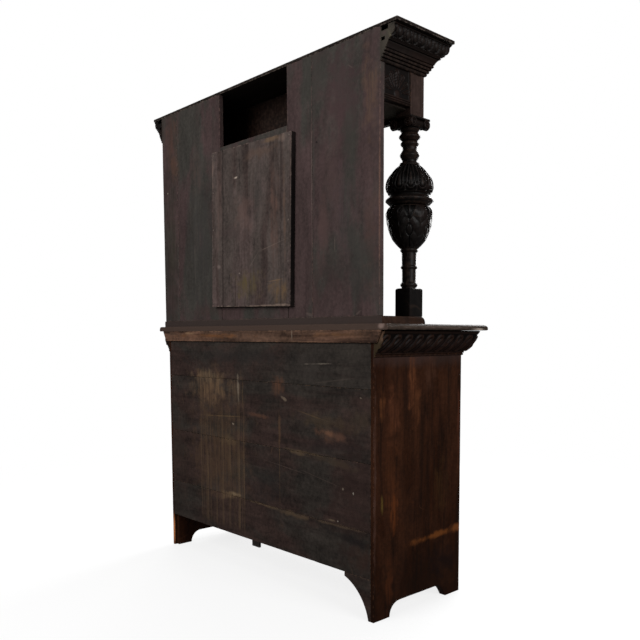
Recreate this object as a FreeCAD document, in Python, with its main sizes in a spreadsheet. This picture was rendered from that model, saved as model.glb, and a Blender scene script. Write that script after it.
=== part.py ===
import FreeCAD
import Part
import Sketcher
import math
import os
import re

# A dark oak sideboard: a cupboard with two drawers over two doors, and a niche under a canopy
# that two cup-and-cover columns carry. Millimetres, front towards -Y, left and right as seen
# from the front, origin on the floor under the middle of the whole piece.

doc = FreeCAD.newDocument("Sideboard")

SIZES = (
    # cupboard
    ("carcass_width", 1236),
    ("carcass_depth", 437),
    ("top_height", 950),
    ("top_thick", 19),
    ("top_overhang", 65),
    ("top_nose_radius", 11),
    ("top_under_radius", 5),
    ("side_thick", 27),
    ("rebate_width", 14),
    ("back_thick", 12),
    ("back_edge_height", 137),
    ("board_gap", 0.8),
    ("rear_foot_length", 76),
    ("front_foot_length", 77),
    ("side_arch_height", 46),
    ("front_arch_reach", 40),
    ("bracket_foot_width", 24),
    ("bracket_reach", 135),
    ("bracket_curve_height", 123),
    ("block_offset", 12),
    ("block_width", 45),
    ("block_height", 22),
    ("block_depth", 10),
    ("block_setback", 2),
    ("rear_rail_overrun", 15),
    ("rear_rail_splay", 23),
    ("rear_rail_height", 41),
    ("rear_rail_thick", 8),
    ("bottom_thick", 20),
    ("shelf_height", 410),
    ("shelf_thick", 18),
    ("shelf_setback", 40),
    # cupboard front
    ("frame_thick", 24),
    ("stile_width", 55),
    ("centre_stile_width", 60),
    ("top_rail_height", 93),
    ("drawer_opening", 138),
    ("drawer_rail_height", 24),
    ("apron_foot_width", 30),
    ("apron_arch_height", 110),
    ("apron_curve_reach", 92),
    ("moulding_height", 86),
    ("moulding_projection", 48),
    # drawers
    ("drawer_gap", 1.5),
    ("drawer_seat_gap", 0.3),
    ("drawer_front_thick", 22),
    ("drawer_side_thick", 12),
    ("drawer_back_thick", 10),
    ("drawer_bottom_thick", 8),
    ("drawer_length", 370),
    ("drawer_side_drop", 12),
    ("runner_bearing", 20),
    ("runner_thick", 20),
    ("guide_height", 25),
    ("guide_gap", 0.5),
    ("kicker_thick", 18),
    ("knob_radius", 17),
    ("knob_length", 28),
    ("knob_inset", 120),
    # doors
    ("door_gap", 2),
    ("door_thick", 22),
    ("door_stile_width", 70),
    ("door_rail_width", 75),
    ("tongue_length", 8),
    ("tongue_thick", 8),
    ("field_rise", 5),
    ("field_lip", 0.5),
    ("field_margin", 12),
    ("tenon_length", 45),
    ("tenon_shoulder", 15),
    ("hinge_length", 60),
    ("hinge_inset", 70),
    ("leaf_width", 24),
    ("leaf_thick", 1.5),
    ("knuckle_radius", 4),
    ("knuckle_gap", 0.5),
    ("pin_radius", 2),
    ("pin_gap", 0.1),
    ("swing_gap", 0.4),
    # upper stage
    ("upper_overrun", 24),
    ("total_height", 1835),
    ("upper_back_thick", 18),
    ("patch_lift", 69),
    ("patch_drop", 24),
    ("patch_left_lap", 40),
    ("patch_right_lap", 35),
    ("patch_thick", 18),
    ("nail_radius", 2.5),
    ("nail_length", 24),
    ("nail_inset", 12),
    ("base_thick", 24),
    ("base_overhang", 8),
    ("base_depth", 208),
    ("base_front_radius", 20),
    ("base_side_radius", 7),
    ("post_side", 62),
    ("canopy_height", 240),
    ("canopy_depth", 199),
    ("frieze_thick", 24),
    ("frieze_lift", 7),
    ("side_frieze_thick", 20),
    ("side_frieze_lift", 26),
    ("opening_lift", 33),
    ("soffit_thick", 12),
    ("canopy_top_thick", 10),
    ("canopy_top_overhang", 68),
    ("cornice_height", 100),
    ("cornice_projection", 64),
    # columns
    ("column_block_height", 91),
    ("block_chamfer", 7),
    ("bulb_radius", 77.6),
    ("capital_side", 92),
    ("capital_height", 33),
    ("capital_neck_radius", 31),
    ("abacus_height", 9),
    ("volute_radius", 14),
)

sheet = doc.addObject("Spreadsheet::Sheet", "Sizes")
for row, (alias, number) in enumerate(SIZES, start=1):
    sheet.set(f"A{row}", alias)
    sheet.set(f"B{row}", str(number))
    sheet.setAlias(f"B{row}", alias)
doc.recompute()

# Places that several pieces share, worked out from the sizes above. Depths are measured from
# the back of the carcass, negative towards the front.
SIDE_FACE = "(carcass_width / 2)"
SIDE_INNER = "(carcass_width / 2 - side_thick)"
BACK_HALF = "(carcass_width / 2 - side_thick + rebate_width)"
STILE_INNER = "(carcass_width / 2 - side_thick - stile_width)"
CENTRE_HALF = "(centre_stile_width / 2)"
CARCASS_TOP = "(top_height - top_thick)"
FRONT = "(0 - carcass_depth)"
FRAME_BACK = "(frame_thick - carcass_depth)"
BOTTOM_TOP = "(back_edge_height + bottom_thick)"
DRAWER_TOP = f"({CARCASS_TOP} - top_rail_height)"
DRAWER_BOTTOM = f"({DRAWER_TOP} - drawer_opening)"
DOOR_TOP = f"({DRAWER_BOTTOM} - drawer_rail_height)"
BAY_WIDTH = f"({STILE_INNER} - {CENTRE_HALF})"
BASE_TOP = "(top_height + base_thick)"
UPPER_HALF = "(carcass_width / 2 + upper_overrun)"
CANOPY_TOP = "(total_height - canopy_top_thick)"
POST_FOOT = "(total_height - canopy_height)"
OPENING_FOOT = f"({POST_FOOT} + opening_lift)"
CORNICE_FOOT = f"({CANOPY_TOP} - cornice_height)"
POST_X = f"({UPPER_HALF} - post_side / 2)"
POST_Y = "(post_side / 2 - canopy_depth)"
REAR_PLANE = "(carcass_depth + top_overhang - patch_thick) / 2"
SIDES = (("left", -1), ("right", 1))

# Where the boards of the cupboard's back meet, as shares of its height, and where those of the
# upper back meet, as shares of half its width.
back_joint_shares = (0.0, 0.1914, 0.4698, 0.7657, 1.0)
upper_joint_shares = (-1.0, -0.514, -0.3115, 0.3271, 0.8178, 1.0)

# Outlines as (across share, up share, bulge share): a bulge is the tangent of a quarter of the
# arc's angle, positive where the arc turns anticlockwise.
moulding_profile_shares = (
    (0.0, 0.0, 0.0),
    (0.03, 0.0, 0.75),
    (0.03, 0.095, 0.0),
    (0.1, 0.1, 0.087),
    (0.577, 0.369, 0.04),
    (0.985, 0.955, 0.0),
    (1.0, 1.0, 0.0),
    (0.0, 1.0, 0.0),
)
cornice_profile_shares = (
    (0.0, 0.0, 0.0),
    (0.02, 0.0, 0.45),
    (0.1, 0.085, 0.45),
    (0.18, 0.17, 0.45),
    (0.26, 0.255, 0.45),
    (0.34, 0.34, 0.0),
    (0.37, 0.35, -0.15),
    (0.52, 0.5, 0.0),
    (0.56, 0.51, 0.6),
    (0.6, 0.57, 0.0),
    (0.7, 0.59, 0.2),
    (0.92, 0.88, 0.0),
    (0.96, 0.89, 0.0),
    (0.965, 0.95, 0.0),
    (1.0, 0.965, 0.0),
    (1.0, 1.0, 0.0),
    (0.0, 1.0, 0.0),
)
column_profile_shares = (
    (0.0, -0.012, 0.0),
    (0.31, -0.012, 0.0),
    (0.31, 0.008, 0.55),
    (0.31, 0.036, 0.0),
    (0.29, 0.046, 0.0),
    (0.295, 0.122, 0.6),
    (0.3, 0.147, 0.0),
    (0.31, 0.228, 0.0),
    (0.375, 0.24, 0.0),
    (0.352, 0.252, 0.08),
    (0.7, 0.31, 0.1),
    (0.978, 0.46, 0.28),
    (0.84, 0.514, 0.0),
    (0.757, 0.52, 0.0),
    (0.815, 0.526, 0.0),
    (0.99, 0.551, 0.3),
    (0.99, 0.561, 0.0),
    (0.82, 0.582, 0.0),
    (0.83, 0.59, 0.2),
    (0.99, 0.63, 0.24),
    (0.737, 0.73, 0.12),
    (0.44, 0.776, 0.0),
    (0.415, 0.79, 0.0),
    (0.305, 0.8, 0.0),
    (0.31, 0.81, 0.0),
    (0.405, 0.836, 0.25),
    (0.405, 0.846, 0.0),
    (0.3, 0.874, 0.0),
    (0.3, 0.893, 0.0),
    (0.38, 0.908, 0.3),
    (0.38, 0.916, 0.0),
    (0.31, 0.93, 0.0),
    (0.445, 0.951, 0.3),
    (0.445, 0.96, 0.0),
    (0.34, 0.982, 0.0),
    (0.42, 1.0, 0.0),
    (0.0, 1.0, 0.0),
)
knob_profile_shares = (
    (0.0, 0.0, 0.0),
    (0.75, 0.0, 0.5),
    (0.6, 0.14, 0.0),
    (0.42, 0.2, -0.25),
    (0.5, 0.45, 0.0),
    (1.0, 0.62, 0.45),
    (0.75, 0.9, 0.12),
    (0.2, 1.0, 0.0),
    (0.0, 1.0, 0.0),
)
BRACKET_BULGE = 0.27
APRON_BULGE = 0.38
FRONT_FOOT_BULGE = 0.15
QUARTER_BULGE = math.tan(math.radians(90 / 4))
DOOR_KNOB_SHARE = 0.625
# How far the patch hangs out of true, in degrees, and what that turn comes to.
PATCH_TILT = 1.3
TILT_COS = math.cos(math.radians(PATCH_TILT))
TILT_SIN = math.sin(math.radians(PATCH_TILT))
NAIL_ROWS = 5

# Places nearer than this are the same one, and a cut smaller than this many cubic millimetres
# has missed.
NEAR = 0.001
SMALLEST_CUT = 1

nodes = []


def formula(text):
    """The text of a size with each alias written as the sheet's own."""
    return re.sub(r"[a-z]+(?:_[a-z]+)+", lambda found: "Sizes." + found.group(0), text)


def size(text):
    """The present value of a size."""
    return float(sheet.evalExpression(formula(text)))


def bind(thing, **properties):
    """Ties properties of an object to sizes."""
    for name, text in properties.items():
        thing.setExpression(name, formula(text))


def place(thing, across="0", depth="0", height="0"):
    """Puts an object at its place, the depth measured from the back of the carcass."""
    thing.setExpression("Placement.Base.x", formula(across))
    thing.setExpression("Placement.Base.y", formula(f"{REAR_PLANE} + {depth}"))
    thing.setExpression("Placement.Base.z", formula(height))


def node(thing, label):
    """Keeps an object as one of the sideboard's pieces under its own name."""
    thing.Label = label
    nodes.append(thing)
    return thing


def board(name, across, depth, height, extent):
    """A plain board from its lowest corner and its size along X, Y and Z."""
    piece = doc.addObject("Part::Box", name)
    bind(piece, Length=extent[0], Width=extent[1], Height=extent[2])
    place(piece, across, depth, height)
    return piece


def rod(name, radius, length, across, depth, height):
    """An upright round rod from the middle of its foot."""
    piece = doc.addObject("Part::Cylinder", name)
    bind(piece, Radius=radius, Height=length)
    place(piece, across, depth, height)
    return piece


def joined(name, pieces):
    """Solids glued or forged into one."""
    whole = doc.addObject("Part::MultiFuse", name)
    whole.Shapes = pieces
    return whole


def cut(name, base, tool):
    """A solid with another one taken out of it."""
    whole = doc.addObject("Part::Cut", name)
    whole.Base = base
    whole.Tool = tool
    return whole


def group(label, pieces):
    """Separate solids that share a name."""
    whole = doc.addObject("Part::Compound", label)
    whole.Links = pieces
    return node(whole, label)


def body(name):
    """An empty body."""
    return doc.addObject("PartDesign::Body", name)


def plane(owner, role):
    """One of a body's origin planes."""
    return next(f for f in owner.Origin.OriginFeatures if f.Role == role)


def outline(owner, name, role, points):
    """A closed sketch through points given as two sizes and the bulge of the next stretch."""
    sketch = owner.newObject("Sketcher::SketchObject", name)
    sketch.AttachmentSupport = [(plane(owner, role), "")]
    sketch.MapMode = "FlatFace"
    spots = [FreeCAD.Vector(size(p[0]), size(p[1]), 0) for p in points]
    ends = []
    for i, spot in enumerate(spots):
        after = spots[(i + 1) % len(spots)]
        bulge = points[i][2] if len(points[i]) > 2 else 0
        if bulge:
            chord = after - spot
            side = FreeCAD.Vector(chord.y, -chord.x, 0)
            crown = (spot + after) * 0.5 + side * (bulge / 2)
            edge = sketch.addGeometry(Part.Arc(spot, crown, after), False)
        else:
            edge = sketch.addGeometry(Part.LineSegment(spot, after), False)
        forward = sketch.getPoint(edge, 1).distanceToPoint(spot) < sketch.getPoint(
            edge, 1
        ).distanceToPoint(after)
        ends.append((1, 2) if forward else (2, 1))
    for i in range(len(points)):
        j = (i + 1) % len(points)
        sketch.addConstraint(Sketcher.Constraint("Coincident", i, ends[i][1], j, ends[j][0]))
    for i, point in enumerate(points):
        for kind, mark, text in (("DistanceX", "x", point[0]), ("DistanceY", "y", point[1])):
            spot = spots[i].x if mark == "x" else spots[i].y
            number = sketch.addConstraint(Sketcher.Constraint(kind, i, ends[i][0], spot))
            sketch.renameConstraint(number, f"{mark}{i}")
            sketch.setExpression(f"Constraints.{mark}{i}", formula(text))
        bulge = abs(point[2]) if len(point) > 2 else 0
        if bulge:
            j = (i + 1) % len(points)
            chord = spots[j].distanceToPoint(spots[i])
            reach = (1 + bulge**2) / (4 * bulge)
            number = sketch.addConstraint(Sketcher.Constraint("Radius", i, chord * reach))
            sketch.renameConstraint(number, f"r{i}")
            across = f"({points[j][0]} - ({point[0]}))"
            up = f"({points[j][1]} - ({point[1]}))"
            sketch.setExpression(
                f"Constraints.r{i}", formula(f"sqrt({across} ^ 2 + {up} ^ 2) * {reach}")
            )
    return sketch


def circle(owner, name, role, across, up, radius):
    """A round sketch."""
    sketch = owner.newObject("Sketcher::SketchObject", name)
    sketch.AttachmentSupport = [(plane(owner, role), "")]
    sketch.MapMode = "FlatFace"
    middle = FreeCAD.Vector(size(across), size(up), 0)
    upwards = FreeCAD.Vector(0, 0, 1)
    sketch.addGeometry(Part.Circle(middle, upwards, size(radius)), False)
    sketch.addConstraint(Sketcher.Constraint("DistanceX", 0, 3, middle.x))
    sketch.addConstraint(Sketcher.Constraint("DistanceY", 0, 3, middle.y))
    sketch.addConstraint(Sketcher.Constraint("Radius", 0, size(radius)))
    for number, text in enumerate((across, up, radius)):
        sketch.renameConstraint(number, f"c{number}")
        sketch.setExpression(f"Constraints.c{number}", formula(text))
    return sketch


def box_points(left, right, low, high):
    """The corners of a rectangle."""
    return ((left, low), (right, low), (right, high), (left, high))


def shared_points(shares, across, up, side=1, low="0"):
    """An outline's points from its shares of a width and a height, mirrored for side -1."""
    return tuple(
        (f"{side * x} * {across}", f"{low} + {z} * {up}", side * bulge) for x, z, bulge in shares
    )


def pad(owner, sketch, length, backwards=False):
    """A sketch given a thickness."""
    feature = owner.newObject("PartDesign::Pad", sketch.Name + "_pad")
    feature.Profile = sketch
    bind(feature, Length=length)
    feature.Reversed = backwards
    sketch.Visibility = False
    doc.recompute()
    return feature


def carve(owner, sketch, backwards=False):
    """A sketch cut right through the body on one side of its plane."""
    before = owner.Shape.Volume
    feature = owner.newObject("PartDesign::Pocket", sketch.Name + "_pocket")
    feature.Profile = sketch
    feature.Type = "ThroughAll"
    feature.Reversed = backwards
    doc.recompute()
    if before - owner.Shape.Volume < SMALLEST_CUT:
        raise RuntimeError(f"{feature.Name} cuts nothing")
    return feature


def spin(owner, sketch, axis="V_Axis"):
    """A sketch turned all the way round one of its axes."""
    feature = owner.newObject("PartDesign::Revolution", sketch.Name + "_turning")
    feature.Profile = sketch
    feature.ReferenceAxis = (sketch, [axis])
    feature.Angle = 360
    doc.recompute()
    return feature


def edges_where(shape, test):
    """The names of the edges whose middle and direction pass a test."""
    found = []
    for number, edge in enumerate(shape.Edges, start=1):
        middle = edge.valueAt((edge.FirstParameter + edge.LastParameter) / 2)
        run = edge.Vertexes[-1].Point - edge.Vertexes[0].Point
        if test(middle, run):
            found.append(f"Edge{number}")
    return found


def soften(owner, kind, test, amount):
    """Rounds or chamfers the edges of a body's last feature that pass a test."""
    base = owner.Tip
    names = edges_where(base.Shape, test)
    if not names:
        raise RuntimeError(f"{owner.Name} has no edge to soften")
    feature = owner.newObject(f"PartDesign::{kind}", f"{base.Name}_{kind.lower()}")
    feature.Base = (base, names)
    bind(feature, **{"Radius" if kind == "Fillet" else "Size": amount})
    doc.recompute()
    return feature


def side_panel(label, side):
    """An end board with a cut-out between its feet and a rebate for the back boards."""
    panel = body(label)
    face = outline(
        panel,
        label + "_face",
        "YZ_Plane",
        (
            ("0", "0"),
            ("0", CARCASS_TOP),
            (FRONT, CARCASS_TOP),
            (FRONT, "0"),
            ("front_foot_length - carcass_depth", "0", -FRONT_FOOT_BULGE),
            ("front_foot_length + front_arch_reach - carcass_depth", "side_arch_height"),
            ("0 - rear_foot_length - side_arch_height", "side_arch_height", -QUARTER_BULGE),
            ("0 - rear_foot_length", "0"),
        ),
    )
    pad(panel, face, "side_thick")
    near = "side_thick - rebate_width" if side < 0 else "0"
    far = "side_thick" if side < 0 else "rebate_width"
    rebate = outline(
        panel, label + "_rebate", "XY_Plane", box_points(near, far, "0 - back_thick", "0")
    )
    carve(panel, rebate, backwards=True)
    place(panel, f"0 - {SIDE_FACE}" if side < 0 else SIDE_INNER)
    return node(panel, label)


def lower_back_boards():
    """The four boards that close the back of the cupboard, laid one above another."""
    levels = [
        f"(back_edge_height + ({CARCASS_TOP} - back_edge_height) * {share})"
        for share in back_joint_shares
    ]
    for number in range(1, len(levels)):
        low = levels[number - 1]
        gap = "0" if number == len(levels) - 1 else "board_gap"
        extent = (f"2 * {BACK_HALF}", "back_thick", f"{levels[number]} - {low} - {gap}")
        label = f"lower_back_board_{number}"
        node(board(label, f"0 - {BACK_HALF}", "0 - back_thick", low, extent), label)


def rear_bracket_foot():
    """The curved bracket under the back at the left corner, the only one that is left."""
    foot = body("rear_bracket_foot")
    tongue = "side_thick - rebate_width"
    shape = outline(
        foot,
        "rear_bracket_shape",
        "XZ_Plane",
        (
            (tongue, "0"),
            ("bracket_foot_width", "0", -BRACKET_BULGE),
            ("bracket_reach", "bracket_curve_height"),
            ("bracket_reach", "back_edge_height"),
            (tongue, "back_edge_height"),
        ),
    )
    pad(foot, shape, "back_thick")
    place(foot, f"0 - {SIDE_FACE}")
    return node(foot, "rear_bracket_foot")


def front_apron():
    """The front's bottom rail, cut to a low arch between two bracket feet."""
    apron = body("front_apron")
    inner = f"{STILE_INNER} - apron_foot_width"
    spring = f"{inner} - apron_curve_reach"
    shape = outline(
        apron,
        "front_apron_shape",
        "XZ_Plane",
        (
            (f"0 - {STILE_INNER}", "0"),
            (f"0 - ({inner})", "0", -APRON_BULGE),
            (f"0 - ({spring})", "apron_arch_height"),
            (spring, "apron_arch_height", -APRON_BULGE),
            (inner, "0"),
            (STILE_INNER, "0"),
            (STILE_INNER, BOTTOM_TOP),
            (f"0 - {STILE_INNER}", BOTTOM_TOP),
        ),
    )
    pad(apron, shape, "frame_thick")
    place(apron, "0", FRAME_BACK)
    return node(apron, "front_apron")


def carcass_inside():
    """The bottom board, the shelf and the block under the back edge."""
    depth = f"back_thick + {FRAME_BACK}"
    extent = (f"2 * {SIDE_INNER}", f"0 - ({depth})", "bottom_thick")
    bottom = board("bottom_board", f"0 - {SIDE_INNER}", FRAME_BACK, "back_edge_height", extent)
    node(bottom, "bottom_board")
    extent = (f"2 * {SIDE_INNER}", f"0 - ({depth}) - shelf_setback", "shelf_thick")
    front = f"{FRAME_BACK} + shelf_setback"
    node(board("shelf", f"0 - {SIDE_INNER}", front, "shelf_height", extent), "shelf")
    extent = ("block_width", "block_depth", "block_height")
    block = board(
        "rear_centre_block",
        "block_offset - block_width / 2",
        "0 - block_setback - block_depth",
        "back_edge_height - block_height",
        extent,
    )
    node(block, "rear_centre_block")


def front_frame():
    """The stiles and rails that the drawers and doors close into."""
    extent = ("stile_width", "frame_thick", CARCASS_TOP)
    left = board("left_stile", f"0 - {SIDE_INNER}", FRONT, "0", extent)
    right = board("right_stile", STILE_INNER, FRONT, "0", extent)
    group("front_stiles", [left, right])
    extent = ("centre_stile_width", "frame_thick", f"{DRAWER_TOP} - {BOTTOM_TOP}")
    centre = board("front_centre_stile", f"0 - {CENTRE_HALF}", FRONT, BOTTOM_TOP, extent)
    node(centre, "front_centre_stile")
    extent = (f"2 * {STILE_INNER}", "frame_thick", "top_rail_height")
    top = board("front_top_rail", f"0 - {STILE_INNER}", FRONT, DRAWER_TOP, extent)
    node(top, "front_top_rail")
    extent = (BAY_WIDTH, "frame_thick", "drawer_rail_height")
    left = board("left_drawer_rail", f"0 - {STILE_INNER}", FRONT, DOOR_TOP, extent)
    right = board("right_drawer_rail", CENTRE_HALF, FRONT, DOOR_TOP, extent)
    group("drawer_rails", [left, right])


def drawer_carriage():
    """The runners with their guides under the drawers, and the battens that keep them level."""
    length = f"0 - ({FRAME_BACK} + back_thick)"
    foot = "0 - runner_thick"
    guide = f"{STILE_INNER} + guide_gap"
    runners = []
    for name, side in SIDES:
        runner = body(f"{name}_runner")
        shape = outline(
            runner,
            f"{name}_runner_shape",
            "XZ_Plane",
            (
                (f"{side} * {SIDE_INNER}", foot),
                (f"{side} * {SIDE_INNER}", "guide_height"),
                (f"{side} * ({guide})", "guide_height"),
                (f"{side} * ({guide})", "0"),
                (f"{side} * ({STILE_INNER} - runner_bearing)", "0"),
                (f"{side} * ({STILE_INNER} - runner_bearing)", foot),
            ),
        )
        pad(runner, shape, length)
        place(runner, "0", "0 - back_thick", DRAWER_BOTTOM)
        runners.append(runner)
    runner = body("centre_runner")
    rib = f"{CENTRE_HALF} - guide_gap"
    wing = f"{CENTRE_HALF} + runner_bearing"
    shape = outline(
        runner,
        "centre_runner_shape",
        "XZ_Plane",
        (
            (f"0 - ({wing})", foot),
            (wing, foot),
            (wing, "0"),
            (rib, "0"),
            (rib, "guide_height"),
            (f"0 - ({rib})", "guide_height"),
            (f"0 - ({rib})", "0"),
            (f"0 - ({wing})", "0"),
        ),
    )
    pad(runner, shape, length)
    place(runner, "0", "0 - back_thick", DRAWER_BOTTOM)
    runners.append(runner)
    group("drawer_runners", runners)
    width = "stile_width + runner_bearing"
    extent = (width, length, "kicker_thick")
    left = board("left_kicker", f"0 - {SIDE_INNER}", FRAME_BACK, DRAWER_TOP, extent)
    edge = f"{STILE_INNER} - runner_bearing"
    right = board("right_kicker", edge, FRAME_BACK, DRAWER_TOP, extent)
    extent = (f"2 * ({wing})", length, "kicker_thick")
    centre = board("centre_kicker", f"0 - ({wing})", FRAME_BACK, DRAWER_TOP, extent)
    group("drawer_kickers", [left, right, centre])


def knob(name, across, depth, height):
    """A turned knob that stands out towards the front."""
    turned = body(name)
    points = tuple(
        (f"{x} * knob_radius", f"{-y} * knob_length", -bulge) for x, y, bulge in knob_profile_shares
    )
    spin(turned, outline(turned, name + "_profile", "XY_Plane", points))
    place(turned, across, depth, height)
    return turned


def drawer(name, side):
    """A drawer: its front, its box of two sides, a back and a bottom, and its two knobs."""
    left = f"{CENTRE_HALF} + drawer_gap" if side > 0 else f"drawer_gap - {STILE_INNER}"
    width = f"({BAY_WIDTH} - 2 * drawer_gap)"
    low = f"{DRAWER_BOTTOM} + drawer_gap"
    high = f"(drawer_opening - 2 * drawer_gap)"
    extent = (width, "drawer_front_thick", high)
    label = f"drawer_front_{name}"
    node(board(label, left, FRONT, low, extent), label)
    start = f"{FRONT} + drawer_front_thick"
    seat = f"{DRAWER_BOTTOM} + drawer_seat_gap"
    tall = f"({high} - drawer_side_drop)"
    extent = ("drawer_side_thick", "drawer_length", tall)
    near = board(f"{name}_drawer_side_a", left, start, seat, extent)
    far = f"{left} + {width} - drawer_side_thick"
    away = board(f"{name}_drawer_side_b", far, start, seat, extent)
    inner = f"({width} - 2 * drawer_side_thick)"
    inner_left = f"{left} + drawer_side_thick"
    floor = f"{seat} + drawer_bottom_thick"
    extent = (inner, "drawer_length", "drawer_bottom_thick")
    bottom = board(f"{name}_drawer_bottom", inner_left, start, floor, extent)
    top = f"{floor} + drawer_bottom_thick"
    extent = (inner, "drawer_back_thick", f"{tall} - 2 * drawer_bottom_thick")
    rear = f"{start} + drawer_length - drawer_back_thick"
    back = board(f"{name}_drawer_back", inner_left, rear, top, extent)
    group(f"drawer_box_{name}", [near, away, bottom, back])
    middle = f"{DRAWER_BOTTOM} + drawer_opening / 2"
    knobs = [
        knob(f"{name}_drawer_knob_a", f"{left} + knob_inset", FRONT, middle),
        knob(f"{name}_drawer_knob_b", f"{left} + {width} - knob_inset", FRONT, middle),
    ]
    group(f"drawer_knobs_{name}", knobs)


def door(name, side):
    """A framed door with a fielded panel, its knob and its hinge leaves."""
    left = f"{CENTRE_HALF} + door_gap" if side > 0 else f"door_gap - {STILE_INNER}"
    width = f"({BAY_WIDTH} - 2 * door_gap)"
    low = f"({BOTTOM_TOP} + door_gap)"
    high = f"({DOOR_TOP} - {BOTTOM_TOP} - 2 * door_gap)"
    sight_left = f"({left} + door_stile_width)"
    sight_width = f"({width} - 2 * door_stile_width)"
    sight_low = f"({low} + door_rail_width)"
    sight_high = f"({high} - 2 * door_rail_width)"
    groove = f"({FRONT} + (door_thick - tongue_thick) / 2)"
    tongue = board(
        f"{name}_door_groove",
        f"{sight_left} - tongue_length",
        groove,
        f"{sight_low} - tongue_length",
        (
            f"{sight_width} + 2 * tongue_length",
            "tongue_thick",
            f"{sight_high} + 2 * tongue_length",
        ),
    )
    tenons = []
    members = []
    rails = (
        ("bottom", low, f"{low} + tenon_shoulder"),
        ("top", f"{sight_low} + {sight_high}", f"{sight_low} + {sight_high} + tongue_length"),
    )
    for rail, foot, tenon_foot in rails:
        extent = (sight_width, "door_thick", "door_rail_width")
        plain = board(f"{name}_{rail}_rail", sight_left, FRONT, foot, extent)
        extent = (
            f"{sight_width} + 2 * tenon_length",
            "tongue_thick",
            "door_rail_width - tongue_length - tenon_shoulder",
        )
        start = f"{sight_left} - tenon_length"
        tenon = board(f"{name}_{rail}_tenons", start, groove, tenon_foot, extent)
        tenons.append(tenon)
        tenoned = joined(f"{name}_{rail}_rail_tenoned", [plain, tenon])
        members.append(cut(f"{name}_{rail}_rail_grooved", tenoned, tongue))
    hollows = joined(f"{name}_door_mortises", [tongue] + tenons)
    for stile, across in (("left", left), ("right", f"{sight_left} + {sight_width}")):
        extent = ("door_stile_width", "door_thick", high)
        plain = board(f"{name}_door_{stile}_stile", across, FRONT, low, extent)
        members.append(cut(f"{name}_door_{stile}_stile_mortised", plain, hollows))
    group(f"door_frame_{name}", members)
    panel = body(f"door_panel_{name}")
    across = f"({sight_width} / 2)"
    up = f"({sight_high} / 2)"
    tongue = outline(
        panel,
        f"{name}_panel_tongue",
        "XZ_Plane",
        box_points(
            f"0 - {across} - tongue_length",
            f"{across} + tongue_length",
            f"0 - {up} - tongue_length",
            f"{up} + tongue_length",
        ),
    )
    pad(panel, tongue, "tongue_thick")
    field = outline(
        panel,
        f"{name}_panel_field",
        "XZ_Plane",
        box_points(
            f"field_margin - {across}",
            f"{across} - field_margin",
            f"field_margin - {up}",
            f"{up} - field_margin",
        ),
    )
    pad(panel, field, "tongue_thick + field_rise")
    front = -size("tongue_thick + field_rise")
    soften(panel, "Chamfer", lambda at, run: abs(at.y - front) < NEAR, "field_rise - field_lip")
    place(
        panel,
        f"{sight_left} + {across}",
        f"{groove} + tongue_thick",
        f"{sight_low} + {up}",
    )
    node(panel, f"door_panel_{name}")
    inset = f"{left} + door_stile_width / 2"
    across = inset if side > 0 else f"{left} + {width} - door_stile_width / 2"
    middle = f"{low} + {high} * {DOOR_KNOB_SHARE}"
    node(knob(f"door_knob_{name}", across, FRONT, middle), f"door_knob_{name}")


def hinge_axis(side):
    """Where a door's hinge pins stand, across and in depth."""
    return f"{side} * ({STILE_INNER} - door_gap / 2)", f"{FRONT} - knuckle_radius"


def hinge_levels():
    """The feet of the lower and the upper hinge."""
    low = f"{BOTTOM_TOP} + hinge_inset"
    return low, f"{DOOR_TOP} - hinge_inset - hinge_length"


def knuckle(name, across, depth, foot, length):
    """A round of a hinge with the bore for its pin."""
    solid = rod(name, "knuckle_radius", length, across, depth, foot)
    bore = rod(name + "_bore", "pin_radius + pin_gap", length, across, depth, foot)
    return solid, bore


def hinges():
    """The iron hinges: leaves on the stiles, leaves on the doors, and the pins between them."""
    third = "(hinge_length / 3)"
    fixed_leaves = []
    pins = []
    for name, side in SIDES:
        across, depth = hinge_axis(side)
        door_leaves = []
        for level, foot in zip(("low", "high"), hinge_levels()):
            tag = f"{name}_{level}_hinge"
            plate_y = f"{FRONT} - leaf_thick"
            extent = ("leaf_width", "leaf_thick", "hinge_length")
            outward = across if side > 0 else f"{across} - leaf_width"
            plate = board(tag + "_stile_plate", outward, plate_y, foot, extent)
            ends = [
                knuckle(tag + "_foot", across, depth, foot, f"{third} - knuckle_gap"),
                knuckle(
                    tag + "_head",
                    across,
                    depth,
                    f"{foot} + 2 * {third} + knuckle_gap",
                    f"{third} - knuckle_gap",
                ),
            ]
            gap_foot = f"{foot} + {third} - knuckle_gap"
            gap = rod(
                tag + "_stile_gap",
                "knuckle_radius + swing_gap",
                f"{third} + 2 * knuckle_gap",
                across,
                depth,
                gap_foot,
            )
            whole = joined(tag + "_stile_whole", [plate, ends[0][0], ends[1][0]])
            bores = joined(tag + "_stile_bores", [ends[0][1], ends[1][1], gap])
            fixed_leaves.append(cut(tag + "_stile_leaf", whole, bores))
            inward = across if side < 0 else f"{across} - leaf_width"
            plate = board(tag + "_door_plate", inward, plate_y, foot, extent)
            middle = knuckle(tag + "_middle", across, depth, f"{foot} + {third}", third)
            tall = f"{third} + knuckle_gap"
            high_gap = f"{foot} + 2 * {third}"
            wide = "knuckle_radius + swing_gap"
            low_gap = rod(tag + "_door_gap_low", wide, third, across, depth, foot)
            high_gap = rod(tag + "_door_gap_high", wide, tall, across, depth, high_gap)
            whole = joined(tag + "_door_whole", [plate, middle[0]])
            bores = joined(tag + "_door_bores", [middle[1], low_gap, high_gap])
            door_leaves.append(cut(tag + "_door_leaf", whole, bores))
            pins.append(rod(tag + "_pin", "pin_radius", "hinge_length", across, depth, foot))
        group(f"hinge_leaves_{name}", door_leaves)
    group("hinge_leaves_frame", fixed_leaves)
    group("hinge_pins", pins)


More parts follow.
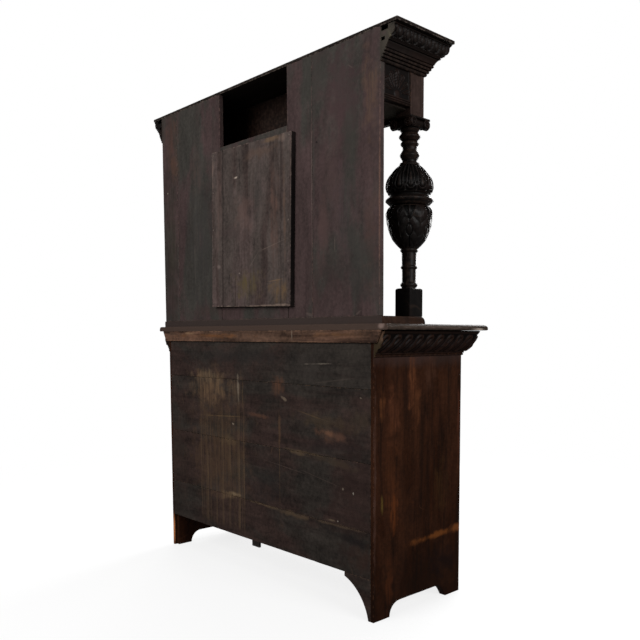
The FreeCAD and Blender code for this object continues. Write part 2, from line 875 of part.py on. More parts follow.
def side_moulding(label, side, shares, across, foot, project, tall, long):
    """A moulding along one side, flush at the back and mitred at the front corner."""
    run = body(label)
    profile = outline(
        run, label + "_profile", "XZ_Plane", shared_points(shares, project, tall, side)
    )
    pad(run, profile, f"{long} + {project}")
    waste = outline(
        run,
        label + "_waste",
        "XY_Plane",
        (
            ("0", f"0 - {long}"),
            (f"{side} * {project}", f"0 - {long} - {project}"),
            (f"{side} * {project}", f"0 - {long} - 2 * {project}"),
            ("0", f"0 - {long} - 2 * {project}"),
        ),
    )
    carve(run, waste, backwards=True)
    place(run, f"{side} * {across}", "0", foot)
    return node(run, label)


def front_moulding(label, shares, across, foot, project, tall, long):
    """A moulding along the front, mitred at both ends."""
    run = body(label)
    profile = outline(
        run, label + "_profile", "YZ_Plane", shared_points(shares, project, tall, -1)
    )
    pad(run, profile, f"2 * ({across} + {project})")
    for name, side in SIDES:
        near = "0" if side < 0 else f"2 * ({across} + {project})"
        inner = project if side < 0 else f"2 * {across} + {project}"
        beyond = f"{near} + {side} * {project}"
        waste = outline(
            run,
            f"{label}_waste_{name}",
            "XY_Plane",
            ((inner, "0"), (near, f"0 - {project}"), (beyond, f"0 - {project}"), (beyond, "0")),
        )
        carve(run, waste, backwards=True)
    place(run, f"0 - {across} - {project}", f"0 - {long}", foot)
    return node(run, label)


def cupboard_top():
    """The top board with its rounded nose, the strip behind it and the mouldings under it."""
    top = body("top_board")
    half = "(carcass_width / 2 + top_overhang)"
    depth = "(carcass_depth + top_overhang)"
    shape = outline(
        top,
        "top_board_shape",
        "XY_Plane",
        box_points(f"0 - {half}", half, f"0 - {depth}", "rear_rail_thick"),
    )
    pad(top, shape, "top_thick")
    rear = size("rear_rail_thick")
    thick = size("top_thick")

    def upper_nose(at, run):
        return abs(at.z - thick) < NEAR and at.y < rear - NEAR

    def lower_nose(at, run):
        return abs(at.z) < NEAR and at.y < rear - NEAR

    soften(top, "Fillet", upper_nose, "top_nose_radius")
    soften(top, "Fillet", lower_nose, "top_under_radius")
    place(top, "0", "0", CARCASS_TOP)
    node(top, "top_board")
    rail = body("top_rear_rail")
    low_half = f"({SIDE_FACE} + rear_rail_overrun)"
    high_half = f"({low_half} + rear_rail_splay)"
    face = outline(
        rail,
        "top_rear_rail_face",
        "XZ_Plane",
        (
            (f"0 - {low_half}", "0"),
            (low_half, "0"),
            (high_half, "rear_rail_height"),
            (f"0 - {high_half}", "rear_rail_height"),
        ),
    )
    pad(rail, face, "rear_rail_thick")
    place(rail, "0", "rear_rail_thick", f"{CARCASS_TOP} - rear_rail_height")
    node(rail, "top_rear_rail")
    foot = f"{CARCASS_TOP} - moulding_height"
    sizes = (foot, "moulding_projection", "moulding_height", "carcass_depth")
    for name, side in SIDES:
        label = f"top_moulding_{name}"
        side_moulding(label, side, moulding_profile_shares, SIDE_FACE, *sizes)
    front_moulding("top_moulding_front", moulding_profile_shares, SIDE_FACE, *sizes)


def hung_askew(across, height, middle):
    """The place that a point of the patch comes to when the patch turns about its middle."""
    middle_across, middle_height = middle
    beside = f"({across} - {middle_across})"
    above = f"({height} - {middle_height})"
    turned_across = f"{middle_across} + {beside} * {TILT_COS} - {above} * {TILT_SIN}"
    turned_height = f"{middle_height} + {beside} * {TILT_SIN} + {above} * {TILT_COS}"
    return turned_across, turned_height


def patch_fasteners(left, right, low, high, middle):
    """The nails down both edges of the patch, and the same rods as the holes they fill."""
    nails = []
    holes = []
    for column, across in (("left", f"{left} + nail_inset"), ("right", f"{right} - nail_inset")):
        for row in range(NAIL_ROWS):
            share = row / (NAIL_ROWS - 1)
            height = f"{low} + nail_inset + ({high} - {low} - 2 * nail_inset) * {share}"
            x, z = hung_askew(across, height, middle)
            for kind, kept in (("nail", nails), ("hole", holes)):
                tag = f"{column}_patch_{kind}_{row + 1}"
                piece = rod(tag, "nail_radius", "nail_length", x, "patch_thick", z)
                piece.Placement.Rotation = FreeCAD.Rotation(FreeCAD.Vector(1, 0, 0), 90)
                kept.append(piece)
    return nails, joined("patch_holes", holes)


def upper_back():
    """The upright back boards, the short board between them and the board nailed over it."""
    joints = [f"({UPPER_HALF} * {share})" for share in upper_joint_shares]
    slot_left = joints[2]
    slot_right = joints[3]
    patch_left = f"({slot_left} - patch_left_lap)"
    patch_right = f"({slot_right} + patch_right_lap)"
    patch_low = "(top_height + patch_lift)"
    patch_high = f"({OPENING_FOOT} - patch_drop)"
    middle = (f"(({patch_left} + {patch_right}) / 2)", f"(({patch_low} + {patch_high}) / 2)")
    nails, drilled = patch_fasteners(patch_left, patch_right, patch_low, patch_high, middle)
    tall = f"{CANOPY_TOP} - {BASE_TOP}"
    edges = (
        ("upper_back_board_1", joints[0], joints[1], "board_gap"),
        ("upper_back_board_2", joints[1], slot_left, "0"),
        ("upper_back_board_3", slot_right, joints[4], "board_gap"),
        ("upper_back_board_4", joints[4], joints[5], "0"),
    )
    for label, left, right, gap in edges:
        extent = (f"{right} - ({left}) - {gap}", "upper_back_thick", tall)
        nailed = label in ("upper_back_board_2", "upper_back_board_3")
        name = label + "_plain" if nailed else label
        plank = board(name, left, "0 - upper_back_thick", BASE_TOP, extent)
        node(cut(label, plank, drilled) if nailed else plank, label)
    extent = (f"{slot_right} - {slot_left}", "upper_back_thick", f"{OPENING_FOOT} - {BASE_TOP}")
    rear = "0 - upper_back_thick"
    infill = board("upper_centre_board", slot_left, rear, BASE_TOP, extent)
    node(infill, "upper_centre_board")
    extent = (f"{patch_right} - {patch_left}", "patch_thick", f"{patch_high} - {patch_low}")
    x, z = hung_askew(patch_left, patch_low, middle)
    plain = board("patch_plain", x, "0", z, extent)
    plain.Placement.Rotation = FreeCAD.Rotation(FreeCAD.Vector(0, 1, 0), -PATCH_TILT)
    node(cut("patch_board", plain, drilled), "patch_board")
    group("patch_nails", nails)


def column(name, side):
    """A cup-and-cover column: a square block, the turned part above it and its capital."""
    turned = body(f"column_{name}")
    half = "(post_side / 2)"
    foot = outline(
        turned,
        f"{name}_column_block",
        "XY_Plane",
        box_points(f"0 - {half}", half, f"0 - {half}", half),
    )
    pad(turned, foot, "column_block_height")
    top = size("column_block_height")
    soften(turned, "Chamfer", lambda at, run: abs(at.z - top) < NEAR, "block_chamfer")
    tall = f"({POST_FOOT} - capital_height - {BASE_TOP} - column_block_height)"
    points = shared_points(column_profile_shares, "bulb_radius", tall, 1, "column_block_height")
    spin(turned, outline(turned, f"{name}_column_profile", "XZ_Plane", points))
    place(turned, f"{side} * {POST_X}", POST_Y, BASE_TOP)
    node(turned, f"column_{name}")
    capital = body(f"capital_{name}")
    half = "(capital_side / 2)"
    reach = "(capital_side / 2 - volute_radius)"
    abacus = outline(
        capital,
        f"{name}_abacus",
        "XY_Plane",
        box_points(f"0 - {half}", half, f"0 - {half}", half),
    )
    lift = "(capital_height - abacus_height)"
    abacus.setExpression("AttachmentOffset.Base.z", formula(lift))
    pad(capital, abacus, "abacus_height")
    rise = "volute_radius"
    for role, way in (("XZ_Plane", "front"), ("YZ_Plane", "side")):
        for end, sign in (("a", -1), ("b", 1)):
            middle = f"{sign} * {reach}"
            label = f"{name}_{way}_volute_{end}"
            roll = circle(capital, label, role, middle, rise, "volute_radius")
            shift = f"0 - {half}"
            roll.setExpression("AttachmentOffset.Base.z", formula(shift))
            pad(capital, roll, "capital_side")
    neck = circle(capital, f"{name}_capital_neck", "XY_Plane", "0", "0", "capital_neck_radius")
    pad(capital, neck, lift)
    place(capital, f"{side} * {POST_X}", POST_Y, f"{POST_FOOT} - capital_height")
    node(capital, f"capital_{name}")


def upper_base():
    """The base board of the niche, with a round front edge."""
    base = body("upper_base_board")
    half = f"({UPPER_HALF} + base_overhang)"
    shape = outline(
        base,
        "upper_base_shape",
        "XY_Plane",
        box_points(f"0 - {half}", half, "0 - base_depth", "0"),
    )
    pad(base, shape, "base_thick")
    front = -size("base_depth")
    thick = size("base_thick")

    def front_edge(at, run):
        return abs(at.z - thick) < NEAR and abs(at.y - front) < NEAR

    def side_edges(at, run):
        return abs(at.z - thick) < NEAR and abs(run.x) < NEAR

    soften(base, "Fillet", front_edge, "base_front_radius")
    soften(base, "Fillet", side_edges, "base_side_radius")
    place(base, "0", "0", "top_height")
    node(base, "upper_base_board")


def canopy():
    """The canopy: corner posts, friezes, soffit, cornice and the board on top."""
    tall = f"{CANOPY_TOP} - {POST_FOOT}"
    for name, side in SIDES:
        left = f"{side} * {POST_X} - post_side / 2"
        extent = ("post_side", "post_side", tall)
        label = f"corner_post_{name}"
        node(board(label, left, "0 - canopy_depth", POST_FOOT, extent), label)
        left = f"0 - {UPPER_HALF}" if side < 0 else f"{UPPER_HALF} - side_frieze_thick"
        start = "post_side - canopy_depth"
        foot = f"({POST_FOOT} + side_frieze_lift)"
        extent = (
            "side_frieze_thick",
            f"0 - upper_back_thick - ({start})",
            f"{CANOPY_TOP} - {foot}",
        )
        label = f"side_frieze_{name}"
        node(board(label, left, start, foot, extent), label)
    inner = f"({UPPER_HALF} - post_side)"
    foot = f"({POST_FOOT} + frieze_lift)"
    extent = (f"2 * {inner}", "frieze_thick", f"{CANOPY_TOP} - {foot}")
    frieze = board("front_frieze", f"0 - {inner}", "0 - canopy_depth", foot, extent)
    node(frieze, "front_frieze")
    soffit = body("soffit_board")
    edge = f"({UPPER_HALF} - side_frieze_thick)"
    step = "(post_side - canopy_depth)"
    front = "(frieze_thick - canopy_depth)"
    shape = outline(
        soffit,
        "soffit_shape",
        "XY_Plane",
        (
            (f"0 - {edge}", "0 - upper_back_thick"),
            (f"0 - {edge}", step),
            (f"0 - {inner}", step),
            (f"0 - {inner}", front),
            (inner, front),
            (inner, step),
            (edge, step),
            (edge, "0 - upper_back_thick"),
        ),
    )
    pad(soffit, shape, "soffit_thick")
    place(soffit, "0", "0", f"{OPENING_FOOT} - soffit_thick")
    node(soffit, "soffit_board")
    sizes = (CORNICE_FOOT, "cornice_projection", "cornice_height", "canopy_depth")
    for name, side in SIDES:
        label = f"cornice_{name}"
        side_moulding(label, side, cornice_profile_shares, UPPER_HALF, *sizes)
    front_moulding("cornice_front", cornice_profile_shares, UPPER_HALF, *sizes)
    half = f"({UPPER_HALF} + canopy_top_overhang)"
    deep = "(canopy_depth + canopy_top_overhang)"
    extent = (f"2 * {half}", deep, "canopy_top_thick")
    top = board("canopy_top", f"0 - {half}", f"0 - {deep}", CANOPY_TOP, extent)
    node(top, "canopy_top")


def check():
    """Stops if an object failed or a piece has no sound solid."""
    for thing in doc.Objects:
        if "Invalid" in thing.State or "Error" in thing.State:
            raise RuntimeError(f"{thing.Label} is {thing.State}")
    for piece in nodes:
        if piece.Shape.isNull() or not piece.Shape.isValid() or not piece.Shape.Solids:
            raise RuntimeError(f"{piece.Label} has no sound solid")


for side_name, side_sign in SIDES:
    side_panel(f"side_panel_{side_name}", side_sign)
lower_back_boards()
rear_bracket_foot()
carcass_inside()
front_frame()
front_apron()
drawer_carriage()
for side_name, side_sign in SIDES:
    drawer(side_name, side_sign)
    door(side_name, side_sign)
hinges()
cupboard_top()
upper_base()
upper_back()
for side_name, side_sign in SIDES:
    column(side_name, side_sign)
canopy()
doc.recompute()
check()

os.makedirs("parts", exist_ok=True)
for piece in nodes:
    piece.Shape.exportStep(f"parts/{piece.Label}.step")
whole = Part.makeCompound([piece.Shape for piece in nodes]).BoundBox
print(f"{len(nodes)} pieces, {whole.XLength:.1f} x {whole.YLength:.1f} x {whole.ZLength:.1f}")
print(f"from {whole.XMin:.1f} {whole.YMin:.1f} {whole.ZMin:.1f}")
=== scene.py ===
"""A dark oak sideboard: cupboard, drawers and a canopied niche, seen from behind in a pale studio.

Metres, front towards -Y, left and right as seen from the front, the floor at height nought.
"""

import logging
import math
from collections.abc import Callable, Iterable, Mapping, Sequence
from dataclasses import dataclass, replace
from enum import Enum

import bmesh
import bpy
from bmesh.types import BMEdge, BMesh, BMFace, BMVert
from bpy.types import Material, Node, NodeSocket, Object
from mathutils import Matrix, Vector, noise

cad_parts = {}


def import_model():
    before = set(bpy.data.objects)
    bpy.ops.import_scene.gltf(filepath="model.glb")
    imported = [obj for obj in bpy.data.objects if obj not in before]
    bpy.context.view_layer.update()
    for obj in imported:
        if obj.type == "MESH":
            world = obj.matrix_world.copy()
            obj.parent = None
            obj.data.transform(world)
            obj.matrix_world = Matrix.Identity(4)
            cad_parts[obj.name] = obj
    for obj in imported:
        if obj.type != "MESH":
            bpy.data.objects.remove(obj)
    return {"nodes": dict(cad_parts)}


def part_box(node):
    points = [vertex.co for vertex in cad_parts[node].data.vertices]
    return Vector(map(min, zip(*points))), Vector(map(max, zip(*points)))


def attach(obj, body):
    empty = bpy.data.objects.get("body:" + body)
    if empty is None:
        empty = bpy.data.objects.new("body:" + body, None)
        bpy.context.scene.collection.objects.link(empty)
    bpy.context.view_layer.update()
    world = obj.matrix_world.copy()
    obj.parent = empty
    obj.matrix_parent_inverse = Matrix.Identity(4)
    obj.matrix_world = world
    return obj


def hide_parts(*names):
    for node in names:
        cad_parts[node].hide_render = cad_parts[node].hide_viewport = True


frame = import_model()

log = logging.getLogger("sideboard")

Colour = tuple[float, float, float, float]
Shade = tuple[int, int, int]
Shares = Sequence[Sequence[float]]
Profile = list[tuple[float, float]]
Relief = Callable[[float, float], float]
Placer = Callable[[float, float, float], tuple[float, float, float, float]]
NEAR = 1e-5
MILLI = 1000


def tone(red: float, green: float, blue: float) -> Colour:
    """Turns a screen tone of 0 to 255 into the linear colour that a shader takes.

    Args:
        red: The red share.
        green: The green share.
        blue: The blue share.

    Returns:
        The linear colour with full alpha.
    """

    def linear(share: float) -> float:
        """Undoes the screen's curve."""
        share /= 255
        return share / 12.92 if share <= 0.04045 else ((share + 0.055) / 1.055) ** 2.4

    return linear(red), linear(green), linear(blue), 1.0


def fade(value: float, low: float, high: float) -> float:
    """A smooth step from 0 at low to 1 at high, either way round.

    Args:
        value: The number to place.
        low: Where the step starts.
        high: Where the step ends.

    Returns:
        The share from 0 to 1.
    """
    share = min(max((value - low) / (high - low), 0.0), 1.0)
    return share * share * (3 - 2 * share)


def ridge(distance: float, half: float) -> float:
    """The height of a half-round bead, 1 on its crest and 0 beside it.

    Args:
        distance: How far the point is from the bead's middle line.
        half: Half the bead's width.

    Returns:
        The height from 0 to 1.
    """
    share = min(abs(distance) / max(half, NEAR), 1.0)
    return math.sqrt(1 - share * share)


def drop(along: float, across: float, start: float, end: float, thin: float, wide: float) -> float:
    """The distance to a drop shape, a rod that widens from its start to its end.

    Args:
        along: The point's place along the drop's axis.
        across: Its place across the axis.
        start: Where the axis starts.
        end: Where the axis ends.
        thin: The radius at the start.
        wide: The radius at the end.

    Returns:
        The distance, negative inside the drop.
    """
    share = min(max((along - start) / (end - start), 0.0), 1.0)
    return math.hypot(along - start - (end - start) * share, across) - thin - (wide - thin) * share


def lobe(distance: float, rim: float, swell: float) -> float:
    """The height over a carved lobe: a rim round it, a groove, and a swollen middle.

    Args:
        distance: The distance to the lobe's outline, negative inside.
        rim: The rim's width.
        swell: How far from the groove the middle takes to rise.

    Returns:
        The height from 0 to 1.
    """
    if distance >= 0:
        return 0.0
    if distance > -rim:
        return 0.2 + 0.8 * ridge(distance + rim / 2, rim / 2)
    return 0.12 + 0.78 * fade(-distance - rim, 0.25 * swell, 1.25 * swell)


def fan(across: float, up: float, reach: float, petals: int = 7, spread: float = 2.9) -> float:
    """The height over a palmette that opens upwards from its foot.

    Args:
        across: The point's place beside the foot.
        up: Its place above the foot.
        reach: How far the middle petal reaches.
        petals: How many petals there are.
        spread: The angle over all the petals.

    Returns:
        The height from 0 to 1.
    """
    radius = math.hypot(across, up)
    if radius > reach * 1.05:
        return 0.0
    step = spread / (petals - 1)
    turn = math.atan2(across, up)
    middle = (petals - 1) / 2
    nearest = min(max(round(turn / step + middle), 0), petals - 1)
    off = turn - (nearest - middle) * step
    length = reach * (1 - 0.2 * abs(nearest - middle) / middle)
    width = length * math.tan(step / 2)
    tip = length - width * 0.62
    shape = drop(radius * math.cos(off), radius * math.sin(off), reach * 0.3, tip, 0.08 * width, 0.62 * width)
    boss = ridge(radius, reach * 0.17)
    return max(lobe(shape, reach * 0.045, reach * 0.07), boss)


class Signal:
    """A number, colour or vector on its way through a finish's nodes."""

    def __init__(self, graph: "Graph", socket: NodeSocket) -> None:
        """Keeps the graph and the socket that gives the value."""
        self.graph = graph
        self.socket = socket

    def __add__(self, other: "Operand") -> "Signal":
        """The sum."""
        return self.graph.maths("ADD", self, other)

    def __sub__(self, other: "Operand") -> "Signal":
        """The difference."""
        return self.graph.maths("SUBTRACT", self, other)

    def __rsub__(self, other: "Operand") -> "Signal":
        """The difference from a number."""
        return self.graph.maths("SUBTRACT", other, self)

    def __mul__(self, other: "Operand") -> "Signal":
        """The product."""
        return self.graph.maths("MULTIPLY", self, other)

    def __truediv__(self, other: "Operand") -> "Signal":
        """The quotient."""
        return self.graph.maths("DIVIDE", self, other)

    __radd__ = __add__
    __rmul__ = __mul__

    def absolute(self) -> "Signal":
        """The value without its sign."""
        return self.graph.maths("ABSOLUTE", self)

    def least(self, other: "Operand") -> "Signal":
        """The smaller of the two."""
        return self.graph.maths("MINIMUM", self, other)

    def most(self, other: "Operand") -> "Signal":
        """The greater of the two."""
        return self.graph.maths("MAXIMUM", self, other)

    def fade(self, low: "Operand", high: "Operand") -> "Signal":
        """A smooth step from 0 at low to 1 at high.

        Args:
            low: Where the step starts.
            high: Where the step ends.

        Returns:
            The share from 0 to 1.
        """
        sockets = {"Value": self, "From Min": low, "From Max": high}
        return self.graph.add("ShaderNodeMapRange", {"interpolation_type": "SMOOTHSTEP"}, sockets)["Result"]


Operand = Signal | float | Sequence[float]


class Made:
    """A node that has been made, whose outputs are taken by name or number."""

    def __init__(self, graph: "Graph", node: Node) -> None:
        """Keeps the node and its graph."""
        self.graph = graph
        self.node = node

    def __getitem__(self, output: str | int) -> Signal:
        """The output of that name or number."""
        return Signal(self.graph, self.node.outputs[output])


class Graph:
    """The node tree of one finish."""

    def __init__(self, name: str) -> None:
        """Starts an empty material of that name."""
        self.material = bpy.data.materials.new(name)
        self.material.use_nodes = True
        self.tree = self.material.node_tree
        self.tree.nodes.clear()

    def add(
        self,
        kind: str,
        settings: Mapping[str, object] | None = None,
        sockets: Mapping[str | int, Operand] | None = None,
    ) -> Made:
        """Makes one node.

        Args:
            kind: The node's type.
            settings: Its settings, where "stops" are a colour ramp's places and colours.
            sockets: The values or links of its inputs, by name or number.

        Returns:
            The node.
        """
        node = self.tree.nodes.new(kind)
        for name, value in (settings or {}).items():
            if name == "stops":
                ramp = node.color_ramp
                for number, (place, colour) in enumerate(value):
                    stop = ramp.elements[number] if number < 2 else ramp.elements.new(place)
                    stop.position = place
                    stop.color = colour
            else:
                setattr(node, name, value)
        for name, value in (sockets or {}).items():
            if isinstance(value, Signal):
                self.tree.links.new(value.socket, node.inputs[name])
            else:
                node.inputs[name].default_value = value
        return Made(self, node)

    def maths(self, operation: str, *operands: Operand) -> Signal:
        """One step of arithmetic.

        Args:
            operation: The Math node's operation.
            operands: The values or links that it takes.

        Returns:
            The result.
        """
        return self.add("ShaderNodeMath", {"operation": operation}, dict(enumerate(operands)))[0]

    def mix(self, share: Operand, first: Operand, second: Operand) -> Signal:
        """A blend of two colours.

        Args:
            share: How much of the second shows, from 0 to 1.
            first: The first colour.
            second: The second colour.

        Returns:
            The blend.
        """
        return self.add("ShaderNodeMix", {"data_type": "RGBA"}, {0: share, 6: first, 7: second})[2]

    def scaled(self, colour: Operand, factor: Operand) -> Signal:
        """A colour made lighter or darker by a factor."""
        return self.add("ShaderNodeVectorMath", {"operation": "SCALE"}, {0: colour, "Scale": factor})[0]

    def split(self, vector: Signal) -> tuple[Signal, Signal, Signal]:
        """The three parts of a vector."""
        parts = self.add("ShaderNodeSeparateXYZ", None, {0: vector})
        return parts[0], parts[1], parts[2]

    def grainy(
        self,
        place: Signal,
        scale: float,
        stretch: Sequence[float] = (1, 1, 1),
        detail: float = 3,
        shift: float = 0.0,
        warp: float = 0.0,
    ) -> Signal:
        """Noise over the piece, drawn out along its grain.

        Args:
            place: The point that is coloured.
            scale: How many features there are to a metre.
            stretch: The share of that scale along each axis.
            detail: How many finer layers there are.
            shift: How far the pattern is moved, so that pieces differ.
            warp: How far the pattern twists.

        Returns:
            The noise from 0 to 1.
        """
        sockets = {"Vector": place, "Scale": tuple(stretch), "Location": (shift, shift * 1.7, shift * 2.3)}
        drawn = self.add("ShaderNodeMapping", None, sockets)[0]
        sockets = {"Vector": drawn, "Scale": scale, "Detail": detail, "Roughness": 0.6, "Distortion": warp}
        return self.add("ShaderNodeTexNoise", None, sockets)["Fac"]

    def close(
        self, colour: Signal, roughness: Operand, height: Signal, depth: float, fixed: Mapping[str, float]
    ) -> Material:
        """Ends the tree in a shader whose surface follows a height.

        Args:
            colour: The surface's colour.
            roughness: Its roughness.
            height: The small relief, from 0 to 1.
            depth: How deep that relief is, in metres.
            fixed: The shader's inputs that are the same all over.

        Returns:
            The material.
        """
        normal = self.add("ShaderNodeBump", None, {"Height": height, "Strength": 1.0, "Distance": depth})[0]
        sockets = {"Base Color": colour, "Roughness": roughness, "Normal": normal, **fixed}
        shader = self.add("ShaderNodeBsdfPrincipled", None, sockets)[0]
        self.add("ShaderNodeOutputMaterial", None, {"Surface": shader})
        return self.material


class Grain(Enum):
    """The axis that a board's grain runs along."""

    ACROSS = 0
    DEEP = 1
    UPRIGHT = 2

    def stretch(self, along: float) -> tuple[float, float, float]:
        """The scale along each axis for features drawn out along the grain."""
        return tuple(along if axis == self.value else 1.0 for axis in range(3))


class Face(Enum):
    """A side of the sideboard, as the axis it faces and which way."""

    FRONT = (1, -1)
    BACK = (1, 1)
    LEFT = (0, -1)
    RIGHT = (0, 1)

    def __init__(self, axis: int, way: int) -> None:
        """Keeps the axis that the side faces along, and which way it does."""
        self.axis = axis
        self.way = way


SIDES = {"left": Face.LEFT, "right": Face.RIGHT}


@dataclass(frozen=True)
class Mark:
    """A rub, smear or scratch on one side of a board, or a patch of painted shade or light.

    Attributes:
        across: The middle's place across the board, in millimetres.
        height: The middle's height.
        long: Half its length along its own axis.
        wide: Half its width.
        colour: The screen tone that shows there.
        share: How strong it is.
        lean: Its turn from level, in degrees.
        ragged: How torn its outline is.
        brush: The axis that its strokes run along, or None where it has none.
        face: The side that it is on, where that isn't the side of the other marks.
    """

    across: float
    height: float
    long: float
    wide: float
    colour: Shade
    share: float = 0.6
    lean: float = 0.0
    ragged: float = 0.9
    brush: Grain | None = None
    face: Face | None = None


@dataclass(frozen=True)
class Comb:
    """A row of upright rub lines.

    Attributes:
        lines: Their places across the board, in millimetres.
        low: Where they end at the bottom.
        high: Where they end at the top.
        colour: The screen tone that shows there.
        share: How strong they are.
    """

    lines: tuple[float, ...]
    low: float
    high: float
    colour: Shade
    share: float = 0.6


# How many features there are to a metre in each layer of a finish.
CLOUDS, PATCHES, STRANDS, FIBRE, PORES, FINE = 5.5, 16, 30, 170, 600, 80
HAIRS, SCUFFS, DENTS, TATTERS, STROKES = 3.2, 9, 34.0, 24, 95
# How many places a finish's pattern can be moved to, and the distance between two.
SHIFTS, SHIFT = 89, 0.31
# How far under a side's surface its marks end and are whole.
UNDER, WHOLE = 0.003, 0.002


@dataclass(frozen=True)
class Site:
    """A piece and the nodes of the finish that goes on it.

    Attributes:
        graph: The finish's nodes.
        place: The point that is coloured.
        level: The same point, turned with the piece until that stands upright.
        low: The lowest corner of the upright piece's box.
        high: Its highest corner.
        shift: How far the pattern is moved.
    """

    graph: Graph
    place: Signal
    level: Signal
    low: Vector
    high: Vector
    shift: float

    @classmethod
    def on(cls, piece: Object, finish: str, turn: float) -> "Site":
        """Starts a finish on a piece.

        Args:
            piece: The piece.
            finish: The finish's name.
            turn: The turn about the deep axis that sets the piece upright, in degrees.

        Returns:
            The site.
        """
        graph = Graph(f"{finish}-{piece.name}")
        place = graph.add("ShaderNodeTexCoord")["Object"]
        sockets = {"Vector": place, "Rotation": (0, math.radians(turn), 0)}
        level = graph.add("ShaderNodeMapping", None, sockets)[0]
        corners = [Vector(corner) for corner in piece.bound_box]
        if turn:
            upright = Matrix.Rotation(math.radians(turn), 3, "Y")
            corners = [upright @ vert.co for vert in piece.data.vertices]
        low = Vector(min(corner[i] for corner in corners) for i in range(3))
        high = Vector(max(corner[i] for corner in corners) for i in range(3))
        return cls(graph, place, level, low, high, sum(ord(letter) for letter in piece.name) % SHIFTS * SHIFT)

    def side(self, place: Signal, face: Face) -> tuple[Signal, Signal, Signal]:
        """Lays a side of the piece out flat.

        Args:
            place: The point that is coloured.
            face: The side.

        Returns:
            The place across it, the height, and 1 on its surface and 0 elsewhere.
        """
        parts = self.graph.split(place)
        surface = self.high[face.axis] if face.way > 0 else -self.low[face.axis]
        outside = (parts[face.axis] * face.way).fade(surface - UNDER, surface - WHOLE)
        return parts[1 - face.axis], parts[2], outside


